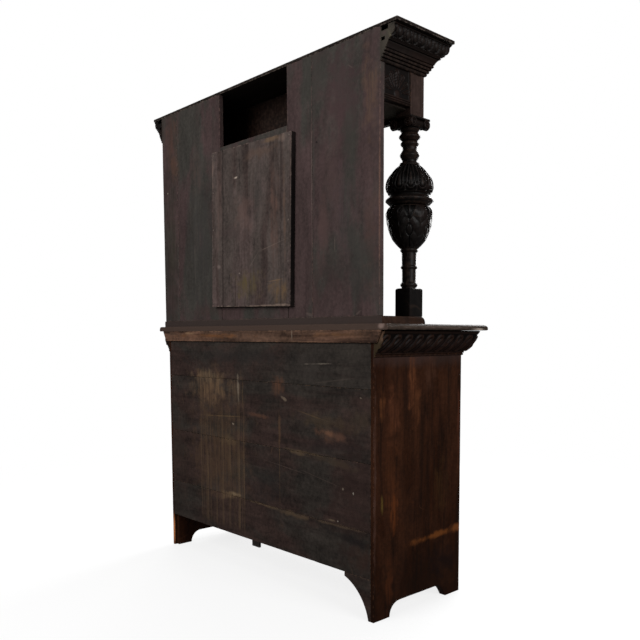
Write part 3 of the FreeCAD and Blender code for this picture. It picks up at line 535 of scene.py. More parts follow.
@dataclass(frozen=True)
class Oak:
    """A finish of old oak.

    Attributes:
        name: The finish's name.
        slot: The record's slot that it belongs to.
        ground: The main tone.
        cloud: The tone of the broad clouds in the stain.
        streak: The tone of the darker grain.
        bare: The tone that wear lays open.
        roughness: How dull it is.
        gloss: How much the wood itself shines.
        coat: The share of polish over it.
        wear: How far wear reaches in from the edges, in metres.
        grain: How much the grain shows.
        mottle: How uneven the stain is.
        scratches: How strong the hairlines are.
        specks: How strong the pale dents are.
        depth: How deep the grain's relief is, in metres.
    """

    name: str
    slot: str
    ground: Shade
    cloud: Shade
    streak: Shade
    bare: Shade
    roughness: float = 0.62
    gloss: float = 0.12
    coat: float = 0.0
    wear: float = 0.003
    grain: float = 0.5
    mottle: float = 1.0
    scratches: float = 0.2
    specks: float = 0.25
    depth: float = 0.0005

    def dress(
        self,
        piece: Object,
        grain: Grain,
        marks: Sequence[Mark | Comb] = (),
        face: Face = Face.BACK,
        carved: bool = False,
        turn: float = 0.0,
    ) -> None:
        """Gives a piece this finish, worn along the edges of its own box.

        Args:
            piece: The piece.
            grain: The axis that its grain runs along.
            marks: The rubs and scratches on one of its sides, with the painted shade and light that some
                tables hold.
            face: The side that has them.
            carved: Whether the piece has a relief whose hollows are painted with shade.
            turn: The turn about the deep axis that sets the piece upright, in degrees.
        """
        site = Site.on(piece, self.name, turn)
        graph, place, shift = site.graph, site.place, site.shift
        clouds = graph.grainy(place, CLOUDS, grain.stretch(0.4), 5, shift, 0.5)
        patches = graph.grainy(place, PATCHES, grain.stretch(0.4), 6, shift + 3, 0.4)
        strands = graph.grainy(place, STRANDS, grain.stretch(0.07), 5, shift, 0.5)
        fibre = graph.grainy(place, FIBRE, grain.stretch(0.05), 4, shift)
        pores = graph.grainy(place, PORES, grain.stretch(0.06), 2, shift).fade(0.55, 0.75)
        fine = graph.grainy(place, FINE, detail=6, shift=shift)
        colour = graph.mix(clouds.fade(0.42, 0.58), tone(*self.ground), tone(*self.cloud))
        colour = graph.mix(strands.fade(0.46, 0.66) * self.grain, colour, tone(*self.streak))
        uneven = (patches - 0.5) * 1.5 + (fine - 0.5) * 1.3
        lines = (fibre - 0.5) * 0.9 - pores * 0.3
        colour = graph.scaled(colour, 1 + uneven * self.mottle + lines * self.grain)
        worn = self.worn(site, fine)
        if carved:
            relief = graph.add("ShaderNodeAttribute", {"attribute_name": "relief"})["Fac"]
            # Painted shade: the colour darkens with the carving's depth, to 16 % of itself in the deepest
            # hollows.
            colour = graph.scaled(colour, 0.16 + relief.fade(0.0, 0.75) * 0.84)
            worn = worn.most(relief.fade(0.8, 1.0) * fine.fade(0.4, 0.7) * 0.3)
        colour = self.scratched(site, graph.mix(worn, colour, tone(*self.bare)))
        for mark in marks:
            lay = self.combed if isinstance(mark, Comb) else self.marked
            colour = lay(site, colour, mark, face)
        dull = self.roughness + (fine - 0.5) * 0.3 + pores * 0.1 - worn * 0.08
        height = fibre * 0.45 + strands * 0.35 - pores * 0.5 + fine * 0.35
        shine = {"Specular IOR Level": self.gloss, "Coat Weight": self.coat, "Coat Roughness": 0.3}
        piece.data.materials.append(graph.close(colour, dull, height, self.depth, shine))

    def worn(self, site: Site, fine: Signal) -> Signal:
        """Where the edges of the piece's box are worn.

        Args:
            site: The piece and the finish's nodes.
            fine: The noise that breaks the wear up.

        Returns:
            The share of wear.
        """
        gaps = []
        for part, start, end in zip(site.graph.split(site.level), site.low, site.high):
            gaps.append((end - start) / 2 - (part - (start + end) / 2).absolute())
        nearest = gaps[0].least(gaps[1]).most(gaps[0].most(gaps[1]).least(gaps[2]))
        reach = (fine.fade(0.4, 0.7) * 1.7 + 0.05) * self.wear
        return (1 - nearest.fade(0.0, reach)) * 0.7

    def scratched(self, site: Site, colour: Signal) -> Signal:
        """Lays hairlines and pale dents over a colour.

        Args:
            site: The piece and the finish's nodes.
            colour: The colour so far.

        Returns:
            The colour with them.
        """
        graph, place, shift = site.graph, site.place, site.shift
        line = (graph.grainy(place, HAIRS, detail=1, shift=shift + 5, warp=0.8) - 0.5).absolute()
        where = graph.grainy(place, SCUFFS, detail=2, shift=shift + 9).fade(0.58, 0.72)
        hair = (1 - line.fade(0.0, 0.005)) * where * self.scratches
        sockets = {"Vector": place, "Scale": DENTS, "Randomness": 1.0}
        cells = graph.add("ShaderNodeTexVoronoi", None, sockets)
        chosen, size, _ = graph.split(cells["Color"])
        dent = (1 - cells["Distance"].fade(0.02, 0.02 + size * 0.07)) * chosen.fade(0.86, 0.92) * self.specks
        return graph.mix(hair.most(dent), colour, tone(*self.bare))

    def combed(self, site: Site, colour: Signal, comb: Comb, face: Face) -> Signal:
        """Lays a row of rub lines over a colour, if it reaches the piece.

        Args:
            site: The piece and the finish's nodes.
            colour: The colour so far.
            comb: The row.
            face: The side that it is on.

        Returns:
            The colour with the row.
        """
        low, high = comb.low / MILLI, comb.high / MILLI
        if low > site.high.z or high < site.low.z:
            return colour
        graph = site.graph
        across, up, outside = site.side(site.place, face)
        first, last = min(comb.lines) - 12, max(comb.lines) + 12
        black = tone(0, 0, 0)
        stops = []
        for number, line in enumerate(sorted(comb.lines)):
            spot = (line - first) / (last - first)
            bright = 255 - number * 83 % 150
            stops += [(spot - 0.008, black), (spot, tone(bright, bright, bright))]
        stops.append((1.0, black))
        sway = (graph.grainy(site.place, 7, detail=2, shift=site.shift) - 0.5) * 0.03
        where = (across - first / MILLI) / ((last - first) / MILLI) + sway
        lines = graph.add("ShaderNodeValToRGB", {"stops": stops}, {0: where})["Color"]
        broken = graph.grainy(site.place, TATTERS, (1.6, 1, 0.25), 4, site.shift).fade(0.36, 0.6)
        ends = up.fade(low, low + 0.03) * (1 - up.fade(high - 0.2, high))
        share = graph.split(lines)[0] * (0.25 + broken * 0.75) * ends * outside * comb.share
        return graph.mix(share, colour, tone(*comb.colour))

    def marked(self, site: Site, colour: Signal, mark: Mark, face: Face) -> Signal:
        """Lays one mark over a colour, if it reaches the piece.

        Args:
            site: The piece and the finish's nodes.
            colour: The colour so far.
            mark: The mark.
            face: The side that it is on, where it doesn't name one.

        Returns:
            The colour with the mark.
        """
        place = site.level if mark.face else site.place
        face = mark.face or face
        middle, height = mark.across / MILLI, mark.height / MILLI
        reach = max(mark.long, mark.wide) / MILLI
        for spot, axis in ((middle, 1 - face.axis), (height, 2)):
            if spot + reach < site.low[axis] or spot - reach > site.high[axis]:
                return colour
        graph = site.graph
        across, up, outside = site.side(place, face)
        turn = math.radians(mark.lean)
        side, rise = across - middle, up - height
        length = (side * math.cos(turn) + rise * math.sin(turn)) / (mark.long / MILLI)
        width = (rise * math.cos(turn) - side * math.sin(turn)) / (mark.wide / MILLI)
        torn = graph.grainy(place, TATTERS, detail=6, shift=site.shift + mark.across)
        away = graph.maths("SQRT", length * length + width * width) + (torn - 0.5) * 3.0 * mark.ragged
        share = (1 - away.fade(0.1, 1.1)) * outside * mark.share
        if mark.brush is not None:
            strokes = graph.grainy(place, STROKES, mark.brush.stretch(0.09), 4, site.shift + mark.height)
            share = share * (0.3 + strokes.fade(0.38, 0.62) * 0.9)
        return graph.mix(share, colour, tone(*mark.colour))


@dataclass(frozen=True)
class Iron:
    """A finish of dull iron, with rust in patches.

    Attributes:
        name: The finish's name.
        slot: The record's slot that it belongs to.
        ground: The main colour.
        rust: The colour of the rust patches.
    """

    name: str = "black_iron"
    slot: str = "black_iron"
    ground: Colour = (0.012, 0.011, 0.011, 1.0)
    rust: Colour = (0.05, 0.02, 0.009, 1.0)

    def dress(self, piece: Object) -> None:
        """Gives a piece this finish.

        Args:
            piece: The piece.
        """
        graph = Graph(f"{self.name}-{piece.name}")
        place = graph.add("ShaderNodeTexCoord")["Object"]
        coarse = graph.grainy(place, 90, detail=4)
        fine = graph.grainy(place, 600, detail=3)
        colour = graph.mix(coarse.fade(0.5, 0.68) * 0.8, self.ground, self.rust)
        piece.data.materials.append(graph.close(colour, 0.42 + coarse * 0.3, fine, 0.0003, {"Metallic": 0.6}))


POLISHED = Oak(
    name="dark_polished_oak", slot="dark_polished_oak", ground=(44, 27, 20), cloud=(38, 21, 13),
    streak=(22, 13, 10), bare=(90, 58, 38), roughness=0.5, gloss=0.2, coat=0.1, wear=0.0035,
)
SIDE_OAK = Oak(
    name="red_brown_oak", slot="dark_polished_oak", ground=(49, 26, 14), cloud=(38, 17, 6),
    streak=(22, 11, 6), bare=(98, 64, 44), roughness=0.6, gloss=0.05, wear=0.0016, grain=0.7,
    mottle=0.9,
)
CARVED = Oak(
    name="carved_black_oak", slot="dark_polished_oak", ground=(25, 18, 15), cloud=(31, 19, 15),
    streak=(16, 11, 10), bare=(70, 54, 45), roughness=0.52, gloss=0.09, coat=0.03, wear=0.002,
    grain=0.35, mottle=0.8, specks=0.1, depth=0.0003,
)
MOULDED = replace(
    CARVED, name="carved_brown_oak", ground=(28, 14, 9), cloud=(32, 18, 10),
    streak=(14, 8, 6), bare=(74, 50, 36), gloss=0.06, coat=0.02,
)
TURNED = replace(
    CARVED, name="polished_black_oak", ground=(17, 14, 13), cloud=(25, 16, 13),
    streak=(8, 6, 6), bare=(66, 50, 40), roughness=0.42, gloss=0.09, coat=0.015,
)
CANOPY = Oak(
    name="dusty_canopy_oak", slot="stained_back_oak", ground=(30, 24, 21), cloud=(36, 30, 26),
    streak=(20, 15, 13), bare=(104, 94, 86), roughness=0.75, gloss=0.08, wear=0.0035,
)
POST = replace(
    SIDE_OAK, name="grey_brown_oak", ground=(58, 45, 41), cloud=(50, 38, 34),
    streak=(34, 24, 20), bare=(98, 70, 52),
)
BASE = replace(POST, name="brown_base_oak", ground=(53, 37, 29), cloud=(46, 30, 22))
UPPER_BACK = Oak(
    name="stained_upper_back", slot="stained_back_oak", ground=(67, 53, 52), cloud=(57, 54, 50),
    streak=(48, 41, 38), bare=(98, 76, 68), roughness=0.75, gloss=0.08, wear=0.003, grain=0.25,
    mottle=0.85,
)
PATCH = Oak(
    name="scuffed_patch_oak", slot="stained_back_oak", ground=(80, 67, 64), cloud=(72, 63, 59),
    streak=(56, 44, 41), bare=(128, 108, 98), roughness=0.7, gloss=0.08, wear=0.0045,
    grain=0.75, mottle=1.2, scratches=0.35, specks=0.6,
)
LOWER_BACK = Oak(
    name="stained_lower_back", slot="stained_back_oak", ground=(53, 40, 36), cloud=(46, 41, 37),
    streak=(33, 25, 23), bare=(94, 72, 56), roughness=0.7, gloss=0.08, wear=0.0018, grain=0.45,
    mottle=1.25, scratches=0.4, specks=0.4,
)
RAIL = Oak(
    name="rubbed_rail_oak", slot="stained_back_oak", ground=(96, 70, 56), cloud=(84, 63, 51),
    streak=(48, 33, 26), bare=(124, 94, 72), roughness=0.66, gloss=0.08, wear=0.003, grain=1.0,
    mottle=1.3, specks=0.4,
)
TOP = Oak(
    name="rubbed_top_oak", slot="dark_polished_oak", ground=(53, 43, 36), cloud=(48, 38, 31),
    streak=(34, 26, 22), bare=(88, 74, 64), roughness=0.58, gloss=0.1, wear=0.004,
)
INSIDE = Oak(
    name="bare_inside_oak", slot="bare_inside_oak", ground=(122, 88, 58), cloud=(108, 80, 56),
    streak=(92, 63, 40), bare=(150, 116, 82), roughness=0.75, wear=0.002, mottle=0.5,
    scratches=0.15, specks=0.15,
)
# Painted light: the soffit board's pale tone stands in for light bounced up from the floor onto its
# underside.
SOFFIT_BOUNCE_LIGHT = Oak(
    name="unlit_canopy_oak", slot="stained_back_oak", ground=(78, 70, 60), cloud=(70, 68, 56),
    streak=(48, 40, 34), bare=(72, 62, 52), roughness=0.75, wear=0.0015,
)
IRON = Iron()
NAIL_IRON = Iron("worn_iron", ground=tone(92, 80, 74), rust=tone(62, 50, 44))

ACROSS, DEEP, UPRIGHT = Grain
FRONT, BACK, LEFT, RIGHT = Face
OCHRE = (96, 76, 52)
PALE = (142, 128, 112)
GREYED = (60, 54, 50)
LOWER_MARKS = (
    Mark(-520, 380, 120, 280, (43, 30, 27), 0.55),
    Mark(250, 480, 230, 250, (74, 56, 42), 0.65, 0, 0.9, UPRIGHT),
    Mark(305, 705, 165, 85, (102, 80, 60), 0.75, 0, 0.8, UPRIGHT),
    Mark(330, 748, 120, 34, (104, 86, 66), 0.55, 0, 0.9, UPRIGHT),
    Mark(120, 705, 60, 70, (84, 68, 54), 0.55, 0, 0.9, UPRIGHT),
    Comb(
        (75, 88, 104, 130, 166, 193, 216, 240, 262, 283, 305, 326, 359, 374), 146, 720, (98, 78, 58), 0.62
    ),
    Mark(110, 715, 55, 7, PALE, 0.45, 88, 0.8),
    Mark(82, 690, 70, 3, OCHRE, 0.5, 90, 0.4),
    Mark(215, 598, 190, 3, (108, 86, 60), 0.45, -3, 0.7),
    Mark(180, 505, 60, 26, (96, 78, 56), 0.4),
    Mark(-135, 735, 46, 40, (92, 62, 46), 0.6, -60, 0.9, UPRIGHT),
    Mark(-20, 618, 80, 10, (88, 60, 46), 0.6, 4, 0.9),
    Mark(-143, 440, 200, 2, (96, 76, 54), 0.6, 90, 0.6),
    Mark(-143, 575, 80, 10, (84, 62, 46), 0.6, 90, 0.9),
    Mark(-420, 585, 90, 26, (92, 64, 50), 0.65, 6, 0.9),
    Mark(-400, 590, 40, 13, (116, 82, 62), 0.5, 6, 0.9),
    Mark(-330, 640, 90, 3, OCHRE, 0.5, 9, 0.6),
    Mark(-390, 625, 170, 30, (72, 58, 44), 0.5, 4, 0.9),
    Mark(-560, 640, 60, 50, (66, 54, 42), 0.4),
    Mark(-305, 510, 160, 5, (84, 68, 50), 0.6, 2, 0.9),
    Mark(-250, 505, 60, 8, (96, 78, 58), 0.5, 4, 0.9),
    Mark(-440, 495, 150, 16, (66, 54, 42), 0.5, 6, 0.9),
    Mark(-160, 447, 190, 2.2, (84, 70, 64), 0.45, 5, 0.5),
    Mark(-360, 432, 130, 2, (80, 66, 60), 0.4, 9, 0.5),
    Mark(175, 290, 100, 20, (104, 84, 62), 0.65, -8, 0.9, UPRIGHT),
    Mark(140, 298, 40, 9, (132, 112, 88), 0.5),
    Mark(-20, 287, 120, 6, (88, 72, 54), 0.55, 1, 0.9),
    Mark(-230, 281, 150, 12, (92, 74, 56), 0.55),
    Mark(-430, 285, 190, 6, (84, 68, 54), 0.5, -1, 0.9),
    Mark(-365, 819, 90, 3, (120, 110, 98), 0.5, -2, 1.0),
    Mark(-300, 800, 120, 60, GREYED, 0.45, 0, 0.9),
    Mark(-430, 765, 150, 3, (72, 62, 56), 0.45, -7, 0.8),
    Mark(146, 572, 9, 4, PALE, 0.6, 20, 0.6),
    Mark(-172, 690, 20, 7, (120, 104, 88), 0.6, 20, 1.0),
    Mark(-561, 716, 8, 4, PALE, 0.4, 10, 0.6),
    Mark(-526, 405, 3.5, 6, (170, 160, 148), 0.8, 0, 0.4),
    Mark(-477, 412, 5, 5, PALE, 0.5, 30, 0.6),
    Mark(-452, 300, 5, 4, (160, 150, 138), 0.6, 0, 0.6),
    Mark(-425, 298, 26, 5, (110, 94, 76), 0.6, 0, 1.0),
    Mark(-158, 240, 45, 9, (66, 56, 52), 0.5, 40, 0.9),
    Mark(-500, 250, 120, 24, (26, 22, 22), 0.7),
    Mark(-570, 190, 70, 50, (62, 42, 34), 0.4),
    Mark(-400, 545, 170, 26, (34, 27, 27), 0.55),
    Mark(100, 830, 420, 44, (42, 38, 36), 0.6),
    Mark(-60, 380, 130, 90, (38, 34, 33), 0.5),
    Mark(540, 400, 90, 240, (58, 44, 38), 0.4, 0, 0.9, UPRIGHT),
    Mark(540, 744, 80, 2, (20, 15, 14), 0.8, 0, 0.3),
    Mark(-640, 500, 14, 360, (64, 46, 40), 0.5, 0, 0.8, UPRIGHT),
)
UPPER_MARKS = (
    Mark(570, 1730, 150, 70, (80, 58, 50), 0.6, 90, 0.8, UPRIGHT),
    Mark(545, 1600, 70, 40, (88, 62, 48), 0.5, 90, 0.9),
    Mark(-598, 1650, 150, 40, (88, 68, 56), 0.7, 90, 0.9, UPRIGHT),
    Mark(-480, 1650, 200, 130, (64, 47, 48), 0.65, 90, 0.9),
    Mark(590, 1250, 80, 500, (46, 39, 35), 0.75, 0, 0.8, UPRIGHT),
    Mark(-430, 1420, 60, 120, (74, 58, 56), 0.5, 0, 1.0),
    Mark(-520, 1500, 40, 160, (56, 52, 48), 0.5, 0, 1.0),
    Mark(-600, 1240, 34, 200, (76, 58, 52), 0.5, 0, 1.0),
    Mark(-420, 1120, 60, 80, (56, 46, 44), 0.5, 0, 1.0),
    Mark(-350, 1760, 120, 90, (54, 52, 48), 0.6, 90, 0.9),
    Mark(-641, 1330, 330, 6, (104, 78, 68), 0.7, 90, 0.6),
    Mark(-328, 1400, 440, 3, (92, 78, 74), 0.65, 90, 0.5),
    Mark(-336, 1500, 10, 330, (58, 56, 52), 0.4, 0, 0.8),
    Mark(-385, 1290, 30, 130, (78, 60, 57), 0.6, 0, 0.8),
    Mark(-480, 1330, 60, 190, (70, 57, 58), 0.5, 0, 0.9, UPRIGHT),
    Mark(-560, 1150, 110, 150, (55, 52, 49), 0.5),
    Mark(-350, 1080, 50, 130, (64, 50, 48), 0.5),
    Mark(-354, 1543, 5, 4, (20, 16, 15), 0.9, 20, 0.4),
    Mark(-510, 1745, 20, 3, (92, 80, 74), 0.4, 35, 0.9),
    Mark(-440, 1200, 30, 2.5, (92, 82, 74), 0.5, 90, 0.8),
    Mark(-550, 985, 24, 5, (96, 82, 76), 0.4, -30, 1.0),
    Mark(-310, 985, 24, 5, (96, 82, 76), 0.4, 20, 1.0),
    Mark(380, 1560, 120, 60, (76, 62, 58), 0.5, 90, 0.9, UPRIGHT),
    Mark(350, 1300, 120, 300, (54, 51, 50), 0.5, 0, 0.9, UPRIGHT),
    Mark(575, 1300, 40, 220, (60, 56, 48), 0.5, 0, 0.9, UPRIGHT),
    Mark(585, 1060, 60, 90, (64, 50, 48), 0.5),
    Mark(604, 1510, 4, 5, (170, 160, 140), 0.8, 0, 0.5),
    Mark(210, 985, 240, 3.4, (24, 19, 18), 0.9, 90, 0.1),
    Mark(-200, 985, 240, 3.4, (24, 19, 18), 0.9, 90, 0.1),
    Mark(400, 1190, 5, 110, (82, 74, 68), 0.4, 0, 0.7),
    Mark(250, 1010, 200, 30, (62, 50, 46), 0.4),
)
PATCH_MARKS_AND_SHADE = (
    Mark(80, 1494, 13, 4.5, (176, 160, 146), 0.9, -4, 0.7),
    Mark(90, 1440, 16, 26, (98, 84, 80), 0.5, 0, 1.0),
    Mark(-60, 1430, 42, 130, (60, 55, 52), 0.55, 0, 0.8, UPRIGHT),
    Mark(120, 1440, 18, 70, (60, 54, 51), 0.5, 0, 0.8, UPRIGHT),
    Mark(90, 1290, 130, 40, (66, 54, 52), 0.5, 15, 0.9),
    Mark(200, 1400, 26, 180, (94, 76, 70), 0.6, 0, 0.8, UPRIGHT),
    Mark(-150, 1330, 30, 200, (92, 70, 62), 0.65, 0, 0.8, UPRIGHT),
    Mark(-205, 1330, 10, 280, (92, 72, 60), 0.5, 0, 0.9, UPRIGHT),
    Mark(20, 1100, 95, 60, (84, 72, 50), 0.85, 0, 0.9, UPRIGHT),
    Mark(-165, 1066, 60, 46, (102, 80, 56), 0.75, 0, 0.9, UPRIGHT),
    Mark(-24, 1186, 46, 1.8, (124, 108, 98), 0.6, -43, 0.4),
    Mark(-135, 1229, 95, 1.8, (116, 100, 90), 0.5, -11, 0.5),
    Mark(66, 1143, 6, 5, (140, 126, 116), 0.8, 0, 0.6),
    Mark(200, 1176, 16, 9, (116, 102, 96), 0.6, 0, 0.6),
    Mark(-143, 1592, 60, 12, (110, 88, 68), 0.6),
    Mark(-195, 1585, 22, 14, (116, 98, 88), 0.5),
    Mark(235, 1540, 14, 60, (110, 92, 84), 0.6),
    Mark(-100, 1020, 180, 5, (130, 112, 100), 0.7),
    Mark(150, 1020, 60, 6, (140, 124, 112), 0.7),
    Mark(-242, 1300, 5, 280, (108, 92, 84), 0.6),
    Mark(-60, 1560, 120, 24, (88, 70, 60), 0.5, 0, 1.0),
    Mark(40, 1360, 60, 90, (92, 72, 66), 0.5, 0, 1.0),
    Mark(-20, 1180, 60, 40, (62, 56, 52), 0.5, 0, 1.0),
    Mark(-145, 1106, 60, 2.4, (118, 94, 72), 0.6, -3, 0.5),
    Mark(170, 1300, 1400, 3.8, (28, 21, 19), 0.9, 91.5, 0.1),
    Mark(-185, 1290, 1400, 3, (36, 27, 25), 0.8, 90.8, 0.1),
    # Painted shade: the patch's left edge face is painted near black.
    Mark(251, 1310, 80, 900, (7, 5, 5), 0.96, 0, 0.1, None, LEFT),
)
SIDE_MARKS_AND_SHADE = (
    Mark(0, 850, 500, 46, (56, 41, 37), 0.75, 0, 0.4),
    # Painted shade: this mark darkens both side panels towards the floor.
    Mark(0, 60, 320, 190, (19, 9, 5), 0.6, 0, 0.5),
    Mark(-65, 229, 130, 13, (112, 64, 28), 0.7, -1.5, 0.9),
    Mark(-178, 236, 40, 22, (116, 66, 32), 0.65),
    Mark(40, 222, 44, 16, (86, 48, 22), 0.55),
    Mark(204, 690, 16, 66, (98, 58, 32), 0.6, 2, 0.8, UPRIGHT),
    Mark(150, 660, 34, 120, (84, 48, 30), 0.75, 0, 0.9, UPRIGHT),
    Mark(62, 770, 22, 110, (96, 56, 34), 0.65, 6, 0.9, UPRIGHT),
    Mark(40, 690, 26, 90, (92, 54, 32), 0.6, 0, 0.9, UPRIGHT),
    Mark(-30, 800, 40, 90, (72, 46, 34), 0.5, 0, 0.9, UPRIGHT),
    Mark(-185, 640, 12, 240, (84, 46, 32), 0.5, 0, 0.9, UPRIGHT),
    Mark(160, 470, 40, 170, (70, 38, 20), 0.7, 0, 0.9, UPRIGHT),
    Mark(204, 372, 8, 36, (92, 74, 34), 0.7, 0, 0.7, UPRIGHT),
    Mark(150, 330, 22, 90, (92, 48, 22), 0.6, 0, 0.9, UPRIGHT),
    Mark(-90, 400, 50, 100, (58, 38, 18), 0.5, 0, 0.9, UPRIGHT),
    Mark(-100, 130, 110, 60, (16, 9, 10), 0.6, 0, 0.8),
    Mark(60, 330, 70, 90, (20, 10, 7), 0.4),
    Mark(170, 110, 26, 120, (70, 36, 18), 0.6, 0, 0.9, UPRIGHT),
    Mark(236, 460, 6, 420, (78, 56, 48), 0.6, 0, 0.9, UPRIGHT),
    Mark(-110, 840, 100, 50, (38, 28, 24), 0.5, 0, 0.8),
    Mark(609, 70, 20, 90, (190, 120, 76), 0.95, 0, 0.5, None, BACK),
)
BASE_MARKS = (
    Mark(0, 962, 2400, 60, (58, 49, 46), 0.95, 0, 0.2),
    Mark(0, 975, 2400, 2.4, (104, 92, 84), 0.6, 0, 0.7),
)
TOP_MARKS_AND_GAP_LIGHT = (
    Mark(0, 942, 2400, 60, (72, 57, 50), 0.85, 0, 0.3),
    Mark(-657, 942, 17, 11, (128, 108, 100), 0.85, 0, 0.8),
    # Painted light: this pale strip low on the top board's left end stands for the bright backdrop seen
    # through the gap above the moulding.
    Mark(-203, 935, 46, 3.2, (186, 172, 160), 0.95, 0, 0.5, None, LEFT),
    Mark(-40, 941, 260, 7, (88, 74, 66), 0.5, 0, 0.9, DEEP, LEFT),
)
# Painted shade: both end faces of the soffit board are painted dark, apart from the painted bounce light of
# its underside.
SOFFIT_END_SHADE = tuple(
    Mark(0, 1606, 900, 80, (27, 20, 17), 0.95, 0, 0.2, None, face) for face in (LEFT, RIGHT)
)
MOULDING_MARKS = (
    Mark(-640, 875, 80, 90, (52, 42, 28), 0.95, 0, 0.3),
    Mark(-648, 915, 50, 26, (88, 66, 52), 0.9, 0, 0.6),
)
CORNICE_MARKS = (
    Mark(-664, 1790, 60, 80, (62, 56, 48), 0.9, 0, 0.3),
    Mark(-686, 1780, 44, 8, (84, 78, 62), 0.7, 62, 0.5),
    Mark(-656, 1801, 12, 7, (66, 54, 50), 0.8, 0, 0.5),
)
RAIL_MARKS = (
    Mark(-227, 920, 32, 3, PALE, 0.6, 88, 0.8),
    Mark(300, 912, 280, 12, (112, 74, 46), 0.65, 0, 0.9, ACROSS),
    Mark(60, 925, 200, 7, (58, 44, 36), 0.6, 0, 0.9, ACROSS),
    Mark(-450, 914, 160, 12, (108, 76, 52), 0.65, 0, 0.9, ACROSS),
    Mark(560, 918, 70, 14, (96, 74, 60), 0.6, 0, 0.9, ACROSS),
    Mark(-360, 897, 240, 4, (56, 40, 32), 0.6, 0, 0.9, ACROSS),
    Mark(430, 922, 50, 6, (128, 100, 76), 0.6, 0, 0.9, ACROSS),
)


class Bench:
    """What every sub-assembly uses to turn a mesh into a finished piece."""

    def publish(
        self,
        name: str,
        mesh: BMesh,
        slot: str,
        nodes: Sequence[str] = (),
        smooth: float | None = None,
        body: str = "cabinet",
    ) -> Object:
        """Makes an object of a mesh, lets it ride on its body and reports it.

        Args:
            name: The piece's name.
            mesh: Its mesh, in place.
            slot: The record's material slot; it is not used.
            nodes: The nodes that it stands for.
            smooth: The angle under which faces shade as one, or None for flat faces.
            body: The body that it rides on.

        Returns:
            The object.
        """
        mesh.normal_update()
        bmesh.ops.recalc_face_normals(mesh, faces=mesh.faces)
        data = bpy.data.meshes.new(name)
        for face in mesh.faces:
            face.smooth = smooth is not None
        mesh.to_mesh(data)
        mesh.free()
        if smooth is not None:
            data.set_sharp_from_angle(angle=math.radians(smooth))
        piece = bpy.data.objects.new(name, data)
        bpy.context.scene.collection.objects.link(piece)
        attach(piece, body)
        if nodes:
            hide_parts(*nodes)
        log.info("%s: %d faces", name, len(data.polygons))
        return piece

    def copied(self, node: str) -> BMesh:
        """A node's own mesh with its loose triangles merged into clean faces.

        Args:
            node: The node's name.

        Returns:
            The mesh.
        """
        mesh = bmesh.new()
        mesh.from_mesh(frame["nodes"][node].data)
        bmesh.ops.remove_doubles(mesh, verts=mesh.verts, dist=NEAR)
        bmesh.ops.dissolve_limit(
            mesh,
            angle_limit=math.radians(0.6),
            verts=mesh.verts,
            edges=mesh.edges,
            use_dissolve_boundaries=False,
        )
        return mesh

    def block(self, node: str) -> BMesh:
        """A plain block.

        Args:
            node: The node whose box it fills.

        Returns:
            The mesh.
        """
        low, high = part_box(node)
        mesh = bmesh.new()
        bmesh.ops.create_cube(mesh, size=1.0)
        bmesh.ops.scale(mesh, vec=high - low, verts=mesh.verts)
        bmesh.ops.translate(mesh, vec=(low + high) / 2, verts=mesh.verts)
        return mesh

    def joined(self, parts: Iterable[BMesh]) -> BMesh:
        """Puts meshes together.

        Args:
            parts: The meshes, which are freed.

        Returns:
            One mesh of them all.
        """
        whole = bmesh.new()
        for part in parts:
            data = bpy.data.meshes.new("part")
            part.to_mesh(data)
            part.free()
            whole.from_mesh(data)
            bpy.data.meshes.remove(data)
        return whole

    def rim(self, mesh: BMesh) -> list[BMEdge]:
        """The open edges of a mesh."""
        return [edge for edge in mesh.edges if edge.is_boundary]

    def spun(self, mesh: BMesh, verts: list[BMVert], axis: Sequence[float], around: int) -> None:
        """Joins points to a chain and turns it once round an axis through the origin.

        Args:
            mesh: The mesh.
            verts: The chain's points.
            axis: The axis.
            around: How many points there are round it.
        """
        edges = [mesh.edges.new(pair) for pair in zip(verts, verts[1:])]
        bmesh.ops.spin(
            mesh,
            geom=verts + edges,
            cent=(0, 0, 0),
            axis=axis,
            dvec=(0, 0, 0),
            angle=math.tau,
            steps=around,
            use_merge=True,
        )

    def rounded(self, mesh: BMesh, edges: Sequence[BMEdge], width: float, segments: int) -> list[BMVert]:
        """Bevels edges.

        Args:
            mesh: The mesh.
            edges: The edges.
            width: How far the rounding reaches.
            segments: How many faces it has.

        Returns:
            The points that it made.
        """
        return bmesh.ops.bevel(
            mesh,
            geom=edges,
            offset=width,
            offset_type="OFFSET",
            affect="EDGES",
            segments=segments,
            profile=0.5,
            material=-1,
            clamp_overlap=True,
        )["verts"]

    def eased(self, mesh: BMesh, width: float, segments: int = 2, shortest: float = 0.004) -> None:
        """Rounds the sharp edges of a mesh, as handling does.

        Args:
            mesh: The mesh.
            width: How far the rounding reaches.
            segments: How many faces it has.
            shortest: Edges shorter than this stay sharp.
        """
        sharp = [
            edge
            for edge in mesh.edges
            if len(edge.link_faces) == 2
            and edge.calc_length() > shortest
            and edge.calc_face_angle(0.0) > math.radians(35)
        ]
        self.rounded(mesh, sharp, width, segments)

    def waver(self, mesh: BMesh, amount: float, bend: float = 0.02) -> None:
        """Breaks long edges up and lets them wander a little.

        Args:
            mesh: The mesh.
            amount: How far a bend moves.
            bend: The length between two bends.
        """
        for cuts in (12, 3):
            long = [edge for edge in mesh.edges if edge.calc_length() > bend * cuts]
            if long:
                bmesh.ops.subdivide_edges(mesh, edges=long, cuts=cuts, use_grid_fill=False)
        spans = [max(v.co[i] for v in mesh.verts) - min(v.co[i] for v in mesh.verts) for i in range(3)]
        thin = spans.index(min(spans))
        for vert in mesh.verts:
            shift = noise.noise_vector(vert.co * 21) * amount
            shift += noise.noise_vector(vert.co * 67) * amount * 0.5
            shift[thin] *= 0.05
            vert.co += shift

